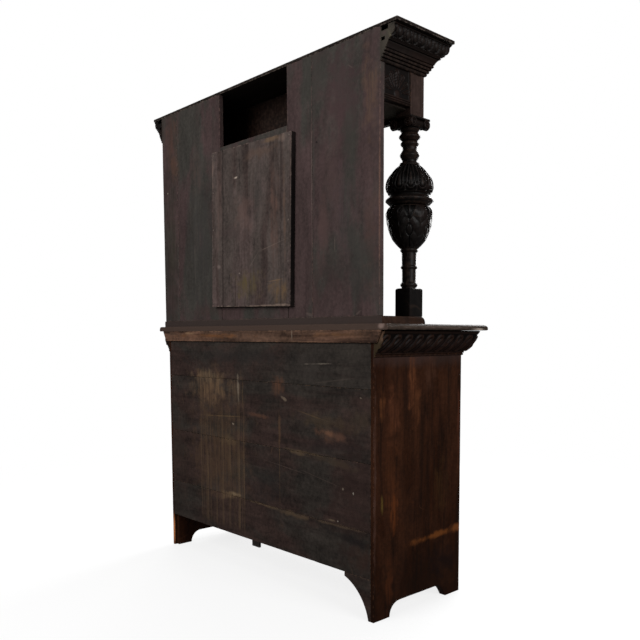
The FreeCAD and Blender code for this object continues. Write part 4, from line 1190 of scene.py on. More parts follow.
    def board(
        self,
        node: str,
        finish: Oak,
        grain: Grain,
        body: str = "cabinet",
        edge: float = 0.0012,
        marks: Sequence[Mark | Comb] = (),
        face: Face = BACK,
        rough: float = 0.0,
        turn: float = 0.0,
    ) -> None:
        """Replaces a plain node by a copy with eased edges.

        Args:
            node: The node's name.
            finish: Its finish.
            grain: The axis of its grain.
            body: The body that it rides on.
            edge: How far its edges are rounded.
            marks: The rubs and scratches on it, and any painted shade or light among them.
            face: The side that has them.
            rough: How far its edges wander.
            turn: The turn about the deep axis that sets it upright, in degrees.
        """
        mesh = self.copied(node)
        if rough:
            self.waver(mesh, rough)
        self.eased(mesh, edge)
        piece = self.publish(f"worn_{node}", mesh, finish.slot, [node], body=body)
        finish.dress(piece, grain, marks, face, turn=turn)

    def carved(
        self, low: Vector, high: Vector, face: Face, relief: Relief, depth: float, step: float = 0.002
    ) -> BMesh:
        """A board whose face is cut to a relief.

        Args:
            low: Its lowest corner.
            high: Its highest corner.
            face: The side that is carved.
            relief: The height from 0 to 1 by the place beside the middle and above the foot.
            depth: The depth of the deepest cut.
            step: The distance between two points of the face.

        Returns:
            The mesh.
        """
        roll = 0.001
        side = 1 - face.axis
        wide, tall = high[side] - low[side], high.z - low.z
        thick = high[face.axis] - low[face.axis]
        mesh = bmesh.new()
        layer = mesh.verts.layers.float.new("relief")
        columns, rows = max(2, round(wide / step)), max(2, round(tall / step))
        bmesh.ops.create_grid(mesh, x_segments=columns, y_segments=rows, size=0.5)
        for vert in mesh.verts:
            across, up = vert.co.x * wide, (vert.co.y + 0.5) * tall
            height = min(max(relief(across, up), 0.0), 1.0)
            edge = min(wide / 2 - abs(across), up, tall - up)
            vert[layer] = height
            vert.co = (across, (1 - height) * depth + roll * (1 - fade(edge, 0.0, 2 * roll)), up)
        backs = bmesh.ops.extrude_edge_only(mesh, edges=self.rim(mesh))["geom"]
        for vert in (part for part in backs if isinstance(part, BMVert)):
            vert.co.y = thick
            vert[layer] = 1.0
        bmesh.ops.holes_fill(mesh, edges=self.rim(mesh), sides=0)
        turn = math.radians({FRONT: 0, RIGHT: 90, BACK: 180, LEFT: -90}[face])
        middle = (low + high) / 2
        middle.z = low.z
        middle[face.axis] = high[face.axis] if face.way > 0 else low[face.axis]
        matrix = Matrix.Translation(middle) @ Matrix.Rotation(turn, 4, "Z")
        bmesh.ops.transform(mesh, matrix=matrix, verts=mesh.verts)
        bmesh.ops.recalc_face_normals(mesh, faces=mesh.faces)
        return mesh

    def carved_node(
        self, node: str, face: Face, relief: Relief, depth: float, body: str = "cabinet", step: float = 0.002
    ) -> None:
        """Replaces a node by a board of its box with a carved face.

        Args:
            node: The node's name.
            face: The side that is carved.
            relief: The height from 0 to 1 over that side.
            depth: The depth of the deepest cut.
            body: The body that it rides on.
            step: The distance between two points of the face.
        """
        low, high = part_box(node)
        mesh = self.carved(low, high, face, relief, depth, step)
        piece = self.publish(f"carved_{node}", mesh, CARVED.slot, [node], 50, body)
        CARVED.dress(piece, UPRIGHT if high.z - low.z > 0.3 else ACROSS, carved=True)

    def traced(self, shares: Shares, across: float, up: float, step: float) -> Profile:
        """A closed outline from shares and bulges, with a point at every step.

        Args:
            shares: Places as shares, each with the bulge of the stretch after it.
            across: What a whole share across comes to.
            up: What a whole share up comes to.
            step: The longest distance between two points.

        Returns:
            The outline's points.
        """
        points: Profile = []
        for number, (x, z, bulge) in enumerate(shares):
            start = Vector((x * across, z * up))
            after = shares[(number + 1) % len(shares)]
            end = Vector((after[0] * across, after[1] * up))
            chord = end - start
            if chord.length < NEAR:
                continue
            if bulge:
                sweep = 4 * math.atan(bulge)
                left = Vector((-chord.y, chord.x))
                centre = (start + end) / 2 + left / (2 * math.tan(sweep / 2))
                count = max(2, math.ceil(abs((start - centre).length * sweep) / step))
                for part in range(count):
                    turned = Matrix.Rotation(sweep * part / count, 2) @ (start - centre) + centre
                    points.append((turned.x, turned.y))
            else:
                count = max(1, math.ceil(chord.length / step))
                points += [tuple(start + chord * part / count) for part in range(count)]
        return points

    def profile(self, shares: Shares, radius: float, tall: float, step: float) -> Profile:
        """The half outline of a turning, without what lies on its axis.

        Args:
            shares: The half outline from the foot to the head, as shares and bulges.
            radius: What a whole share across comes to.
            tall: What a whole share up comes to.
            step: The longest distance between two points.

        Returns:
            The outline's points.
        """
        return [point for point in self.traced(shares, radius, tall, step) if point[0] > radius * 0.03]

    def turned(self, outline: Profile, around: int) -> BMesh:
        """A turning about the upright axis.

        Args:
            outline: The points of its half outline.
            around: How many points there are round it.

        Returns:
            The mesh, whose layer "station" holds the number of each point's place on the outline.
        """
        mesh = bmesh.new()
        station = mesh.verts.layers.float.new("station")
        verts = [mesh.verts.new((x, 0, z)) for x, z in outline]
        for number, vert in enumerate(verts):
            vert[station] = number
        self.spun(mesh, verts, (0, 0, 1), around)
        bmesh.ops.holes_fill(mesh, edges=self.rim(mesh), sides=0)
        bmesh.ops.recalc_face_normals(mesh, faces=mesh.faces)
        return mesh


@dataclass
class Assembly:
    """A sub-assembly of the sideboard.

    Attributes:
        bench: What turns its meshes into finished pieces.
    """

    bench: Bench


@dataclass
class Carcass(Assembly):
    """The cupboard under the top: its sides, back, feet, inside and front frame.

    Attributes:
        stile: The width of the front stiles.
        cut: The depth of the deepest cut in their carving.
        ring: The length of one ring of the carved chain.
        swing: How far its strands swing out.
        field: Half the width of the field that it lies in.
    """

    stile: float = 0.055
    cut: float = 0.0035
    ring: float = 0.052
    swing: float = 0.012
    field: float = 0.02

    def build(self) -> None:
        """Makes every board of the carcass."""
        board = self.bench.board
        for side, face in SIDES.items():
            node = f"side_panel_{side}"
            board(node, SIDE_OAK, UPRIGHT, edge=0.002, marks=SIDE_MARKS_AND_SHADE, face=face, rough=0.0004)
        for number in range(1, 5):
            board(f"lower_back_board_{number}", LOWER_BACK, ACROSS, marks=LOWER_MARKS, rough=0.0005)
        board("rear_bracket_foot", LOWER_BACK, ACROSS, marks=LOWER_MARKS)
        board("rear_centre_block", LOWER_BACK, ACROSS, edge=0.002)
        for node in ("bottom_board", "shelf"):
            board(node, INSIDE, ACROSS)
        for node in ("drawer_runners", "drawer_kickers"):
            board(node, INSIDE, DEEP)
        for node in ("front_top_rail", "drawer_rails", "front_apron"):
            board(node, POLISHED, ACROSS, edge=0.0016)
        self.stiles()

    def stiles(self) -> None:
        """The uprights of the front, cut with a chain of rings."""
        low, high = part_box("front_stiles")
        parts = []
        for start in (low.x, high.x - self.stile):
            corner = Vector((start, low.y, low.z))
            end = Vector((start + self.stile, high.y, high.z))
            parts.append(self.bench.carved(corner, end, FRONT, self.chain(0.175, 0.83), self.cut))
        whole = self.bench.joined(parts)
        piece = self.bench.publish("carved_front_stiles", whole, CARVED.slot, ["front_stiles"], 50)
        CARVED.dress(piece, UPRIGHT, carved=True)
        self.bench.carved_node("front_centre_stile", FRONT, self.chain(0.018, 0.66), self.cut)

    def chain(self, low: float, high: float) -> Relief:
        """The relief of two strands that cross over and over.

        Args:
            low: Where the chain starts above the foot.
            high: Where it ends.

        Returns:
            The height by the place across and up.
        """

        def height(across: float, up: float) -> float:
            """Two strands and the bosses between them.

            Args:
                across: The place beside the middle.
                up: The height above the foot.

            Returns:
                The height from 0 to 1.
            """
            if up < low or up > high or abs(across) > self.field:
                return 1.0
            turn = (up - low) / self.ring * math.pi
            off = self.swing * math.sin(turn)
            strand = max(ridge(across - off, 0.0042), ridge(across + off, 0.0042))
            boss = ridge(math.hypot(across, (turn / math.pi % 1 - 0.5) * self.ring), 0.0065)
            border = fade(abs(across), 0.0165, self.field)
            return max(0.15 + 0.75 * strand, 0.15 + 0.7 * boss, border)

        return height


@dataclass
class Storage(Assembly):
    """The drawers and the doors, with their knobs and carving.

    Attributes:
        front: Half the width and the height of a drawer's front.
        grip: How far a drawer's knob is from its front's middle and foot.
        flute: The distance between two of the front's flutes.
        panel: Half the width and the height of a door's panel.
        spring: How high the panel's arch springs.
    """

    front: tuple[float, float] = (0.2515, 0.135)
    grip: tuple[float, float] = (0.1315, 0.0675)
    flute: float = 0.0217
    panel: tuple[float, float] = (0.189, 0.381)
    spring: float = 0.21

    KNOB = (
        (0.0, 0.0, 0.0), (0.75, 0.0, 0.5), (0.6, 0.14, 0.0), (0.42, 0.2, -0.25), (0.5, 0.45, 0.0),
        (1.0, 0.62, 0.45), (0.75, 0.9, 0.12), (0.2, 1.0, 0.0), (0.0, 1.0, 0.0),
    )

    def build(self) -> None:
        """Makes both drawers and both doors."""
        for side in SIDES:
            drawer, door = f"drawer_{side}", f"door_{side}"
            self.bench.carved_node(f"drawer_front_{side}", FRONT, self.nulling, 0.004, drawer)
            self.bench.board(f"drawer_box_{side}", INSIDE, DEEP, drawer, 0.001)
            self.knobs(f"drawer_knobs_{side}", drawer, 2)
            self.bench.board(f"door_frame_{side}", POLISHED, UPRIGHT, door, 0.0016)
            self.bench.carved_node(f"door_panel_{side}", FRONT, self.arch, 0.006, door)
            self.knobs(f"door_knob_{side}", door, 1)

    def nulling(self, across: float, up: float) -> float:
        """The height over a drawer's front: rounded flutes in a beaded frame, clear of its knobs.

        Args:
            across: The place beside the middle.
            up: The height above the foot.

        Returns:
            The height from 0 to 1.
        """
        half, tall = self.front
        edge = min(half - abs(across), up, tall - up)
        if edge < 0.017:
            return 1 - 0.8 * (ridge(edge - 0.004, 0.0015) + ridge(edge - 0.0145, 0.002))
        knob = math.hypot(abs(across) - self.grip[0], up - self.grip[1])
        if knob < 0.026:
            return 1 - 0.7 * ridge(knob - 0.0235, 0.002)
        beside = ((across / self.flute + 0.5) % 1 - 0.5) * self.flute
        flute = drop(up, beside, 0.03, 0.103, 0.0085, 0.0085)
        if flute > 0:
            return 1.0
        reed = fade(up, 0.075, 0.055) * ridge(beside, 0.006)
        return max(0.1 + 0.75 * fade(flute, -0.006, 0.0), 0.8 * reed)

    def arch(self, across: float, up: float) -> float:
        """The height over a door's panel: a beaded field with an arch, pilasters and a flowering stem.

        Args:
            across: The place beside the middle.
            up: The height above the foot.

        Returns:
            The height from 0 to 1.
        """
        half, tall = self.panel
        edge = min(half - abs(across), up, tall - up)
        if edge < 0.009:
            return 0.1
        if edge < 0.024:
            return max(fade(edge, 0.009, 0.014) * 0.6, ridge(edge - 0.019, 0.004))
        spring, off = self.spring, abs(across)
        radius = math.hypot(across, up - spring)
        height = 0.2
        if up > spring:
            turn = math.atan2(across, up - spring)
            tooth = abs(math.sin(turn * 11))
            band = ridge(radius - 0.1145, 0.014)
            height = max(height, band * (0.72 + 0.28 * tooth), ridge(radius - 0.0975, 0.003))
            ray = math.hypot(0.166 - off, 0.358 - up)
            if ray < 0.062:
                swing = math.atan2(0.166 - off, 0.358 - up)
                petal = abs(math.sin(swing * 7))
                height = max(height, 0.3 + 0.6 * petal * fade(ray, 0.062, 0.05) * fade(ray, 0.008, 0.016))
        elif 0.098 < off < 0.131:
            cap = up > spring - 0.018 or up < 0.052
            flute = 0.72 + 0.28 * math.cos((off - 0.1145) / 0.0165 * math.pi * 3)
            height = 1.0 if cap else flute
            height *= fade(off, 0.098, 0.1) * fade(off, 0.131, 0.129)
        if radius < 0.092 or (up <= spring and off < 0.093):
            flower = fan(across, up - 0.196, 0.082)
            stem = ridge(across, 0.0042) * fade(up, 0.2, 0.19) * fade(up, 0.05, 0.06)
            mound = fan(across, up - 0.04, 0.036, 5, 2.6)
            leaves = 0.0
            for lift in (0.075, 0.118):
                turn = math.radians(58)
                along = off * math.sin(turn) + (up - lift) * math.cos(turn)
                beside = off * math.cos(turn) - (up - lift) * math.sin(turn)
                leaf = drop(along, beside - 0.25 * along, 0.012, 0.06, 0.003, 0.0135)
                leaves = max(leaves, lobe(leaf, 0.003, 0.006))
            height = max(height, flower, 0.85 * stem, mound, leaves)
        return height

    def knobs(self, node: str, body: str, count: int) -> None:
        """Turns the knobs of a node.

        Args:
            node: The node's name.
            body: The body that they ride on.
            count: How many there are.
        """
        low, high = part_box(node)
        radius, length = (high.z - low.z) / 2, high.y - low.y
        outline = self.bench.profile(self.KNOB, radius * 0.9, length, 0.0012)
        parts = []
        for place in (low.x + radius, high.x - radius)[:count]:
            part = self.bench.turned(outline, 40)
            spot = Matrix.Translation((place, high.y, (low.z + high.z) / 2))
            spot = spot @ Matrix.Rotation(math.radians(90), 4, "X")
            bmesh.ops.transform(part, matrix=spot, verts=part.verts)
            parts.append(part)
        whole = self.bench.joined(parts)
        piece = self.bench.publish(f"turned_{node}", whole, POLISHED.slot, [node], 40, body)
        POLISHED.dress(piece, DEEP)


@dataclass
class Moulding(Assembly):
    """A carved moulding that goes round the left, the front and the right of the sideboard.

    Attributes:
        name: The start of its nodes' names.
        shares: Its outline, as shares of its projection and height with bulges.
        depth: The depth of the deepest cut.
        relief: The height from 0 to 1 by the distance along it and the share of its height.
        marks: The rubs on its rear ends.
        finish: Its finish.
        pockets: Old mortises in its rear ends, as starts and ends out and up, in metres.
        step: The distance between two points.
    """

    name: str
    shares: Shares
    depth: float
    relief: Relief
    marks: Sequence[Mark]
    finish: Oak
    pockets: Shares = ()
    step: float = 0.0022

    def build(self) -> None:
        """Makes the three runs."""
        low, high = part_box(f"{self.name}_left")
        self.project = high.x - low.x
        self.tall = high.z - low.z
        self.long = high.y - low.y - self.project
        self.rear, self.foot, self.side = high.y, low.z, -high.x
        self.outline = self.bench.traced(self.shares, self.project, self.tall, self.step)
        self.normals = []
        for number, before in enumerate(self.outline[-1:] + self.outline[:-1]):
            along = Vector(self.outline[(number + 1) % len(self.outline)]) - Vector(before)
            self.normals.append(Vector((along.y, -along.x)).normalized())
        for side, face in SIDES.items():
            self.run(side, self.long + self.project, self.placer(face.way))
        self.run("front", 2 * (self.side + self.project), self.placer(0))

    def placer(self, way: int) -> Placer:
        """Says how points of a run are placed.

        Args:
            way: The side that it runs along: -1 for the left, 1 for the right and 0 for the front.

        Returns:
            The way from a share of the run, a distance out and a height to a point and its distance along.
        """

        def beside(share: float, out: float, up: float) -> tuple[float, float, float, float]:
            """A point of a side's run."""
            along = share * (self.long + out)
            return way * (self.side + out), self.rear - along, self.foot + up, along

        def before(share: float, out: float, up: float) -> tuple[float, float, float, float]:
            """A point of the front's run."""
            along = (2 * share - 1) * (self.side + out)
            return along, self.rear - self.long - out, self.foot + up, abs(along) + self.side % 0.05

        return beside if way else before

    def run(self, side: str, length: float, place: Placer) -> None:
        """Makes one run: an outline drawn out, divided and cut.

        Args:
            side: The end of the node's name.
            length: The run's length.
            place: Where a share of the run, a distance out and a height are.
        """
        mesh = bmesh.new()
        station = mesh.verts.layers.float.new("station")
        layer = mesh.verts.layers.float.new("relief")
        loop = [mesh.verts.new((x, 0, z)) for x, z in self.outline]
        for number, vert in enumerate(loop):
            vert[station] = number
        edges = [mesh.edges.new((loop[n - 1], loop[n])) for n in range(len(loop))]
        bmesh.ops.spin(
            mesh,
            geom=loop + edges,
            cent=(0, 0, 0),
            axis=(0, 0, 1),
            dvec=(0, 1, 0),
            angle=0.0,
            steps=1,
            use_merge=False,
        )
        long = [edge for edge in mesh.edges if abs(edge.verts[0].co.y - edge.verts[1].co.y) > 0.5]
        bmesh.ops.subdivide_edges(mesh, edges=long, cuts=round(length / self.step), use_grid_fill=False)
        bmesh.ops.holes_fill(mesh, edges=self.bench.rim(mesh), sides=0)
        for vert in mesh.verts:
            number = round(vert[station])
            out, up = self.outline[number]
            share = vert.co.y
            height = self.relief(place(share, out, up)[3], up / self.tall) if out > NEAR else 1.0
            shift = self.normals[number] * (height - 1) * self.depth
            out, up = max(out + shift.x, 0.0), up + shift.y
            vert.co = place(share, out, up)[:3]
            vert[layer] = height
        mesh.normal_update()
        bmesh.ops.recalc_face_normals(mesh, faces=mesh.faces)
        if side != "front":
            self.mortise(mesh)
        node = f"{self.name}_{side}"
        piece = self.bench.publish(f"carved_{node}", mesh, self.finish.slot, [node], 55)
        self.finish.dress(piece, ACROSS if side == "front" else DEEP, self.marks, carved=True)

    def mortise(self, mesh: BMesh) -> None:
        """Sinks the old mortises into a run's rear end.

        Args:
            mesh: The run.
        """

        def caps() -> list[BMFace]:
            """The faces of the rear end."""
            return [face for face in mesh.faces if all(vert.co.y > self.rear - NEAR for vert in face.verts)]

        for start, end, foot, head in self.pockets:
            planes = [((way * (self.side + out), 0, 0), (1, 0, 0)) for way in (-1, 1) for out in (start, end)]
            planes += [((0, 0, self.foot + up), (0, 0, 1)) for up in (foot, head)]
            for spot, normal in planes:
                parts = {part for face in caps() for part in (face, *face.edges, *face.verts)}
                bmesh.ops.bisect_plane(mesh, geom=list(parts), dist=NEAR, plane_co=spot, plane_no=normal)
            sunk = []
            for face in caps():
                middle = face.calc_center_median()
                if start < abs(middle.x) - self.side < end and foot < middle.z - self.foot < head:
                    sunk.append(face)
            if sunk:
                bmesh.ops.inset_region(mesh, faces=sunk, thickness=0.0004, depth=-0.016, use_even_offset=True)


def curls(along: float, share: float) -> float:
    """The height over the top moulding: strands that sweep up into round heads, over two beads.

    Args:
        along: The distance along the run.
        share: The share of its height.

    Returns:
        The height from 0 to 1.
    """
    if share < 0.115:
        return 1.0
    if share < 0.155:
        return 1 - 0.8 * ridge(share - 0.128, 0.008) - 0.8 * ridge(share - 0.15, 0.006)
    # Above the curls the band sits back and is painted dark, darker still at its top, as painted shade under
    # the top board's nose.
    if share > 0.845:
        return 0.5 - 0.3 * fade(share, 0.95, 0.98)
    pitch = 0.052
    lift = (share - 0.155) / 0.69
    sweep = 0.98 * (1 - lift) ** 1.6
    cell = (along / pitch + sweep) % 1
    beside, up = (cell - 0.5) * pitch, lift * 0.063
    body = drop(up, beside + 0.002, 0.0, 0.045, 0.0088, 0.0168)
    vein = 0.6 * ridge(min(cell, 1 - cell), 0.1) * fade(lift, 0.8, 0.5)
    if body >= 0:
        return max(0.06, vein)
    slit = 0.06 + 0.75 * fade(up, 0.037, 0.024) if body < -0.009 else 0.0
    strand = 0.1 + 0.88 * ridge(body + 0.0058, 0.0058) if body > -0.0116 else 0.0
    return max(strand, slit)


def eggs(along: float, share: float) -> float:
    """The height over the cornice: reeds, a plain hollow, and an egg and a dart in turn.

    Args:
        along: The distance along the run.
        share: The share of its height.

    Returns:
        The height from 0 to 1.
    """
    if share < 0.35:
        return 1 - 0.65 * max(ridge(share - place, 0.011) for place in (0.085, 0.17, 0.255, 0.34))
    if share < 0.585 or share > 0.9:
        # The top fillet is sunk and painted near black, as painted shade under the canopy board.
        if share > 0.965:
            return 0.12
        return 0.8 - 0.65 * max(ridge(share - place, 0.012) for place in (0.5, 0.55, 0.905, 0.945))
    pitch = 0.0335
    rise = (share - 0.585) / 0.315
    beside = ((along / pitch + 0.5) % 1 - 0.5) * pitch
    round_off = math.hypot(beside / 0.0095, (rise - 0.55) / 0.42)
    egg = ridge(round_off, 1.0)
    shell = ridge(round_off - 1.42, 0.2) * 0.8 * fade(rise, 1.0, 0.85)
    dart = ridge(abs(beside) - pitch / 2, 0.0026 * (0.4 + 0.9 * rise)) * 0.8
    return max(0.85 * egg, shell, dart)


@dataclass
class Top(Assembly):
    """The top board, the rail behind it and the carved moulding under it.

    Attributes:
        nose: How far the top board's nose slopes in above.
        under: How far it is rounded below.
    """

    nose: float = 0.013
    under: float = 0.0045

    OUTLINE = (
        (0.0, 0.0, 0.0), (0.03, 0.0, 0.75), (0.03, 0.095, 0.0), (0.1, 0.1, 0.087), (0.577, 0.369, 0.04),
        (0.985, 0.955, 0.0), (1.0, 1.0, 0.0), (0.0, 1.0, 0.0),
    )

    def build(self) -> None:
        """Makes the top's pieces."""
        self.slab()
        self.bench.board("top_rear_rail", RAIL, ACROSS, edge=0.0018, marks=RAIL_MARKS, rough=0.0006)
        Moulding(self.bench, "top_moulding", self.OUTLINE, 0.0052, curls, MOULDING_MARKS, MOULDED).build()

    def slab(self) -> None:
        """The top board, its nose sloped and rounded on three sides."""
        low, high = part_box("top_board")
        mesh = self.bench.block("top_board")

        def border(height: float) -> list[BMEdge]:
            """The edges at that height, without the rear one."""
            return [
                edge
                for edge in mesh.edges
                if all(abs(vert.co.z - height) < NEAR for vert in edge.verts)
                and any(vert.co.y < high.y - NEAR for vert in edge.verts)
            ]

        self.bench.rounded(mesh, border(high.z), self.nose, 6)
        self.bench.rounded(mesh, border(low.z), self.under, 3)
        self.bench.eased(mesh, 0.001)
        piece = self.bench.publish("nosed_top_board", mesh, TOP.slot, ["top_board"], 32)
        TOP.dress(piece, ACROSS, TOP_MARKS_AND_GAP_LIGHT)


@dataclass
class Niche(Assembly):
    """The stage over the top: its base board, back boards, panelling, patch and nails.

    Attributes:
        half: Half the width of the panelling.
        thick: Its thickness.
        bay: The width of one of its bays.
        tall: Its height.
        spring: How high its arches spring.
        pier: Half the width of the pilaster between two bays.
        nail: The radius of a nail's head.
    """

    half: float = 0.578
    thick: float = 0.008
    bay: float = 0.3853
    tall: float = 0.64
    spring: float = 0.4
    pier: float = 0.036
    nail: float = 0.0042

    def build(self) -> None:
        """Makes the stage's pieces."""
        board = self.bench.board
        board("upper_base_board", BASE, ACROSS, edge=0.001, marks=BASE_MARKS)
        for number, rough in ((1, 0.0004), (2, 0.0), (3, 0.0), (4, 0.0004)):
            node = f"upper_back_board_{number}"
            board(node, UPPER_BACK, UPRIGHT, edge=0.0015, marks=UPPER_MARKS, rough=rough)
        board("upper_centre_board", UPPER_BACK, UPRIGHT, edge=0.0015, marks=UPPER_MARKS)
        board("patch_board", PATCH, UPRIGHT, edge=0.0022, marks=PATCH_MARKS_AND_SHADE, rough=0.0011, turn=1.3)
        self.panelling()
        self.nails()

    def panelling(self) -> None:
        """The three arched panels that face the niche."""
        low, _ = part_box("upper_back_board_1")
        _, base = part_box("upper_base_board")
        foot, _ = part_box("soffit_board")
        start = Vector((-self.half, low.y - self.thick, base.z))
        end = Vector((self.half, low.y, foot.z))
        mesh = self.bench.carved(start, end, FRONT, self.bays, 0.006, 0.0036)
        piece = self.bench.publish("niche_panelling", mesh, CARVED.slot, smooth=50)
        CARVED.dress(piece, UPRIGHT, carved=True)

    def bays(self, across: float, up: float) -> float:
        """The height over the niche's back: three round arches on fluted pilasters.

        Args:
            across: The place beside the middle.
            up: The height above the foot.

        Returns:
            The height from 0 to 1.
        """
        off = abs((across / self.bay + 0.5) % 1 - 0.5) * self.bay
        edge = self.bay / 2 - off
        if up < 0.05:
            return max(0.75, ridge(up - 0.044, 0.005))
        if up > self.tall - 0.03:
            return max(0.75, ridge(self.tall - up - 0.024, 0.005))
        above = up - self.spring
        if edge < self.pier:
            if above > 0.02:
                return 0.3 if edge > 0.012 else 0.8
            cap = 1.0 if above > -0.012 or up < 0.085 else 0.0
            return max(cap, 0.55 + 0.4 * math.cos(edge / self.pier * math.pi * 4))
        if above > 0:
            teeth = 0.7 + 0.3 * abs(math.sin(math.atan2(off, above) * 13))
            band = ridge(math.hypot(off, above) - 0.142, 0.013) * teeth
            return max(0.25, band, fan(0.17 - off, up - 0.56, 0.045, 5, 2.4))
        return max(0.2, ridge(0.156 - off - 0.006, 0.006), fan(off, up - 0.12, 0.1) * 0.9)

    def nails(self) -> None:
        """The heads of the nails down the patch, a little proud of it."""
        source = self.bench.copied("patch_nails")
        seen: list[Vector] = []
        for vert in source.verts:
            spot = Vector((vert.co.x, 0.0, vert.co.z))
            if all((spot - other).length > 0.01 for other in seen):
                seen.append(spot)
        source.free()
        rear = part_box("patch_nails")[1].y
        whole = bmesh.new()
        for spot in seen:
            matrix = Matrix.Translation((spot.x, rear, spot.z)) @ Matrix.Diagonal((1, 0.3, 1, 1))
            bmesh.ops.create_uvsphere(whole, u_segments=14, v_segments=8, radius=self.nail, matrix=matrix)
        piece = self.bench.publish("patch_nail_heads", whole, NAIL_IRON.slot, ["patch_nails"], 60)
        NAIL_IRON.dress(piece)


@dataclass
class Column(Assembly):
    """A cup-and-cover column and its capital.

    Attributes:
        side: The end of its nodes' names.
        block: The height of the block under it.
        width: The block's width.
        bulb: The radius of its bulb.
        roll: The radius of the capital's rolls.
        lift: How high their middles lie in the capital.
        around: How many points there are round it.
        petals: How many petals lie on the cover.
        leaves: How many leaves hold the cup.
        cut: The depth of its deepest cut.
        step: The distance between two points of its outline.
    """

    side: str
    block: float = 0.091
    width: float = 0.062
    bulb: float = 0.0776
    roll: float = 0.0144
    lift: float = 0.0148
    around: int = 204
    petals: int = 12
    leaves: int = 6
    cut: float = 0.005
    step: float = 0.0024

    OUTLINE = (
        (0.31, -0.012, 0.0), (0.31, 0.008, 0.55), (0.31, 0.036, 0.0), (0.29, 0.046, 0.0),
        (0.295, 0.122, 0.6), (0.3, 0.147, 0.0), (0.31, 0.228, 0.0), (0.375, 0.24, 0.0),
        (0.352, 0.252, 0.08), (0.7, 0.31, 0.1), (0.978, 0.46, 0.28), (0.84, 0.514, 0.0),
        (0.757, 0.52, 0.0), (0.815, 0.526, 0.0), (0.99, 0.551, 0.3), (0.99, 0.561, 0.0),
        (0.82, 0.582, 0.0), (0.83, 0.59, 0.2), (0.99, 0.63, 0.24), (0.737, 0.73, 0.12),
        (0.44, 0.776, 0.0), (0.415, 0.79, 0.0), (0.305, 0.8, 0.0), (0.31, 0.81, 0.0),
        (0.405, 0.836, 0.25), (0.405, 0.846, 0.0), (0.3, 0.874, 0.0), (0.3, 0.893, 0.0),
        (0.38, 0.908, 0.3), (0.38, 0.916, 0.0), (0.31, 0.93, 0.0), (0.445, 0.951, 0.3),
        (0.445, 0.96, 0.0), (0.34, 0.982, 0.0), (0.42, 1.0, 0.0), (0.0, 1.0, 0.0), (0.0, 0.99, 0.0),
    )

    def build(self) -> None:
        """Makes the column and its capital."""
        node = f"column_{self.side}"
        low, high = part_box(node)
        self.tall = high.z - low.z - self.block
        outline = self.bench.profile(self.OUTLINE, self.bulb, self.tall, self.step)
        mesh = self.bench.turned(outline, self.around)
        self.carve(mesh, outline)
        self.foot(mesh)
        middle = (low + high) / 2
        bmesh.ops.translate(mesh, vec=(middle.x, middle.y, low.z + self.block), verts=mesh.verts)
        piece = self.bench.publish(f"carved_{node}", mesh, TURNED.slot, [node], 48)
        TURNED.dress(piece, UPRIGHT, carved=True)
        self.capital()

    def carve(self, mesh: BMesh, outline: Profile) -> None:
        """Cuts the petals of the cover and the leaves of the cup, and paints shade into its grooves.

        Args:
            mesh: The turning.
            outline: The points of its half outline.
        """
        station = mesh.verts.layers.float["station"]
        layer = mesh.verts.layers.float.new("relief")
        run = [0.0]
        for here, after in zip(outline, outline[1:]):
            run.append(run[-1] + math.dist(here, after))

        def reached(share: float) -> float:
            """The distance along the outline where it passes a share of the height."""
            return next(r for r, point in zip(run, outline) if point[1] >= share * self.tall)

        # Painted shade: stations that lie in a groove between larger radii are darkened, and three dark lines
        # are painted on the rings between cup and cover.
        painted_shade = []
        for here, (radius, up) in zip(run, outline):
            below = max(p[0] for r, p in zip(run, outline) if here - 0.012 < r <= here)
            above = max(p[0] for r, p in zip(run, outline) if here <= r < here + 0.012)
            shade = 1 - 0.85 * fade(min(below, above) - radius, 0.0008, 0.006)
            lines = max(ridge(up / self.tall - place, 0.0035) for place in (0.5405, 0.5715, 0.5935))
            painted_shade.append(shade * (1 - 0.75 * lines))
        cup = reached(0.256), reached(0.512)
        cover = reached(0.594), reached(0.774)
        for vert in mesh.verts:
            number = round(vert[station])
            radius, up = outline[number]
            turn = math.atan2(vert.co.y, vert.co.x)
            here = run[number]
            height = 1.0
            if cover[0] < here < cover[1]:
                height = self.petal(cover[1] - here, cover[1] - cover[0], turn, radius)
            elif cup[0] < here < cup[1]:
                height = self.leaf((here - cup[0]) / (cup[1] - cup[0]), turn)
            spot = Vector((vert.co.x, vert.co.y, up))
            if height < 1:
                height = max(height - 0.22 * abs(noise.noise(spot * 70)), 0.0)
            vert[layer] = height * painted_shade[number]
            shrunk = radius - (1 - height) * self.cut
            vert.co.x, vert.co.y = math.cos(turn) * shrunk, math.sin(turn) * shrunk

    def petal(self, fall: float, length: float, turn: float, radius: float) -> float:
        """The height over the cover: hanging petals with rims and swollen middles, darts between.

        Args:
            fall: The distance down from the cover's collar.
            length: The distance from the collar to the cover's lower edge.
            turn: The angle round the column.
            radius: The cover's radius there.

        Returns:
            The height from 0 to 1.
        """
        pitch = math.tau / self.petals
        off = ((turn / pitch) % 1 - 0.5) * pitch * radius
        wide = 0.0176
        end = length * 0.93 - wide
        shape = drop(fall, off, 0.0, end, 0.0076, wide)
        tongue = drop(fall, off, length * 0.12, end, 0.0016, wide - 0.0078)
        dart = ridge(abs(off) - pitch * radius / 2, 0.0042) * fade(fall, length * 0.7, length * 0.78)
        rim = 0.25 + 0.7 * ridge(shape + 0.0031, 0.0031) if -0.0062 < shape < 0 else 0.0
        swell = 0.12 + 0.88 * fade(-tongue, -0.0004, 0.0055) if shape < -0.0058 else 0.0
        return max(rim, swell, 0.75 * dart, fade(fall, length * 0.955, length * 0.975))

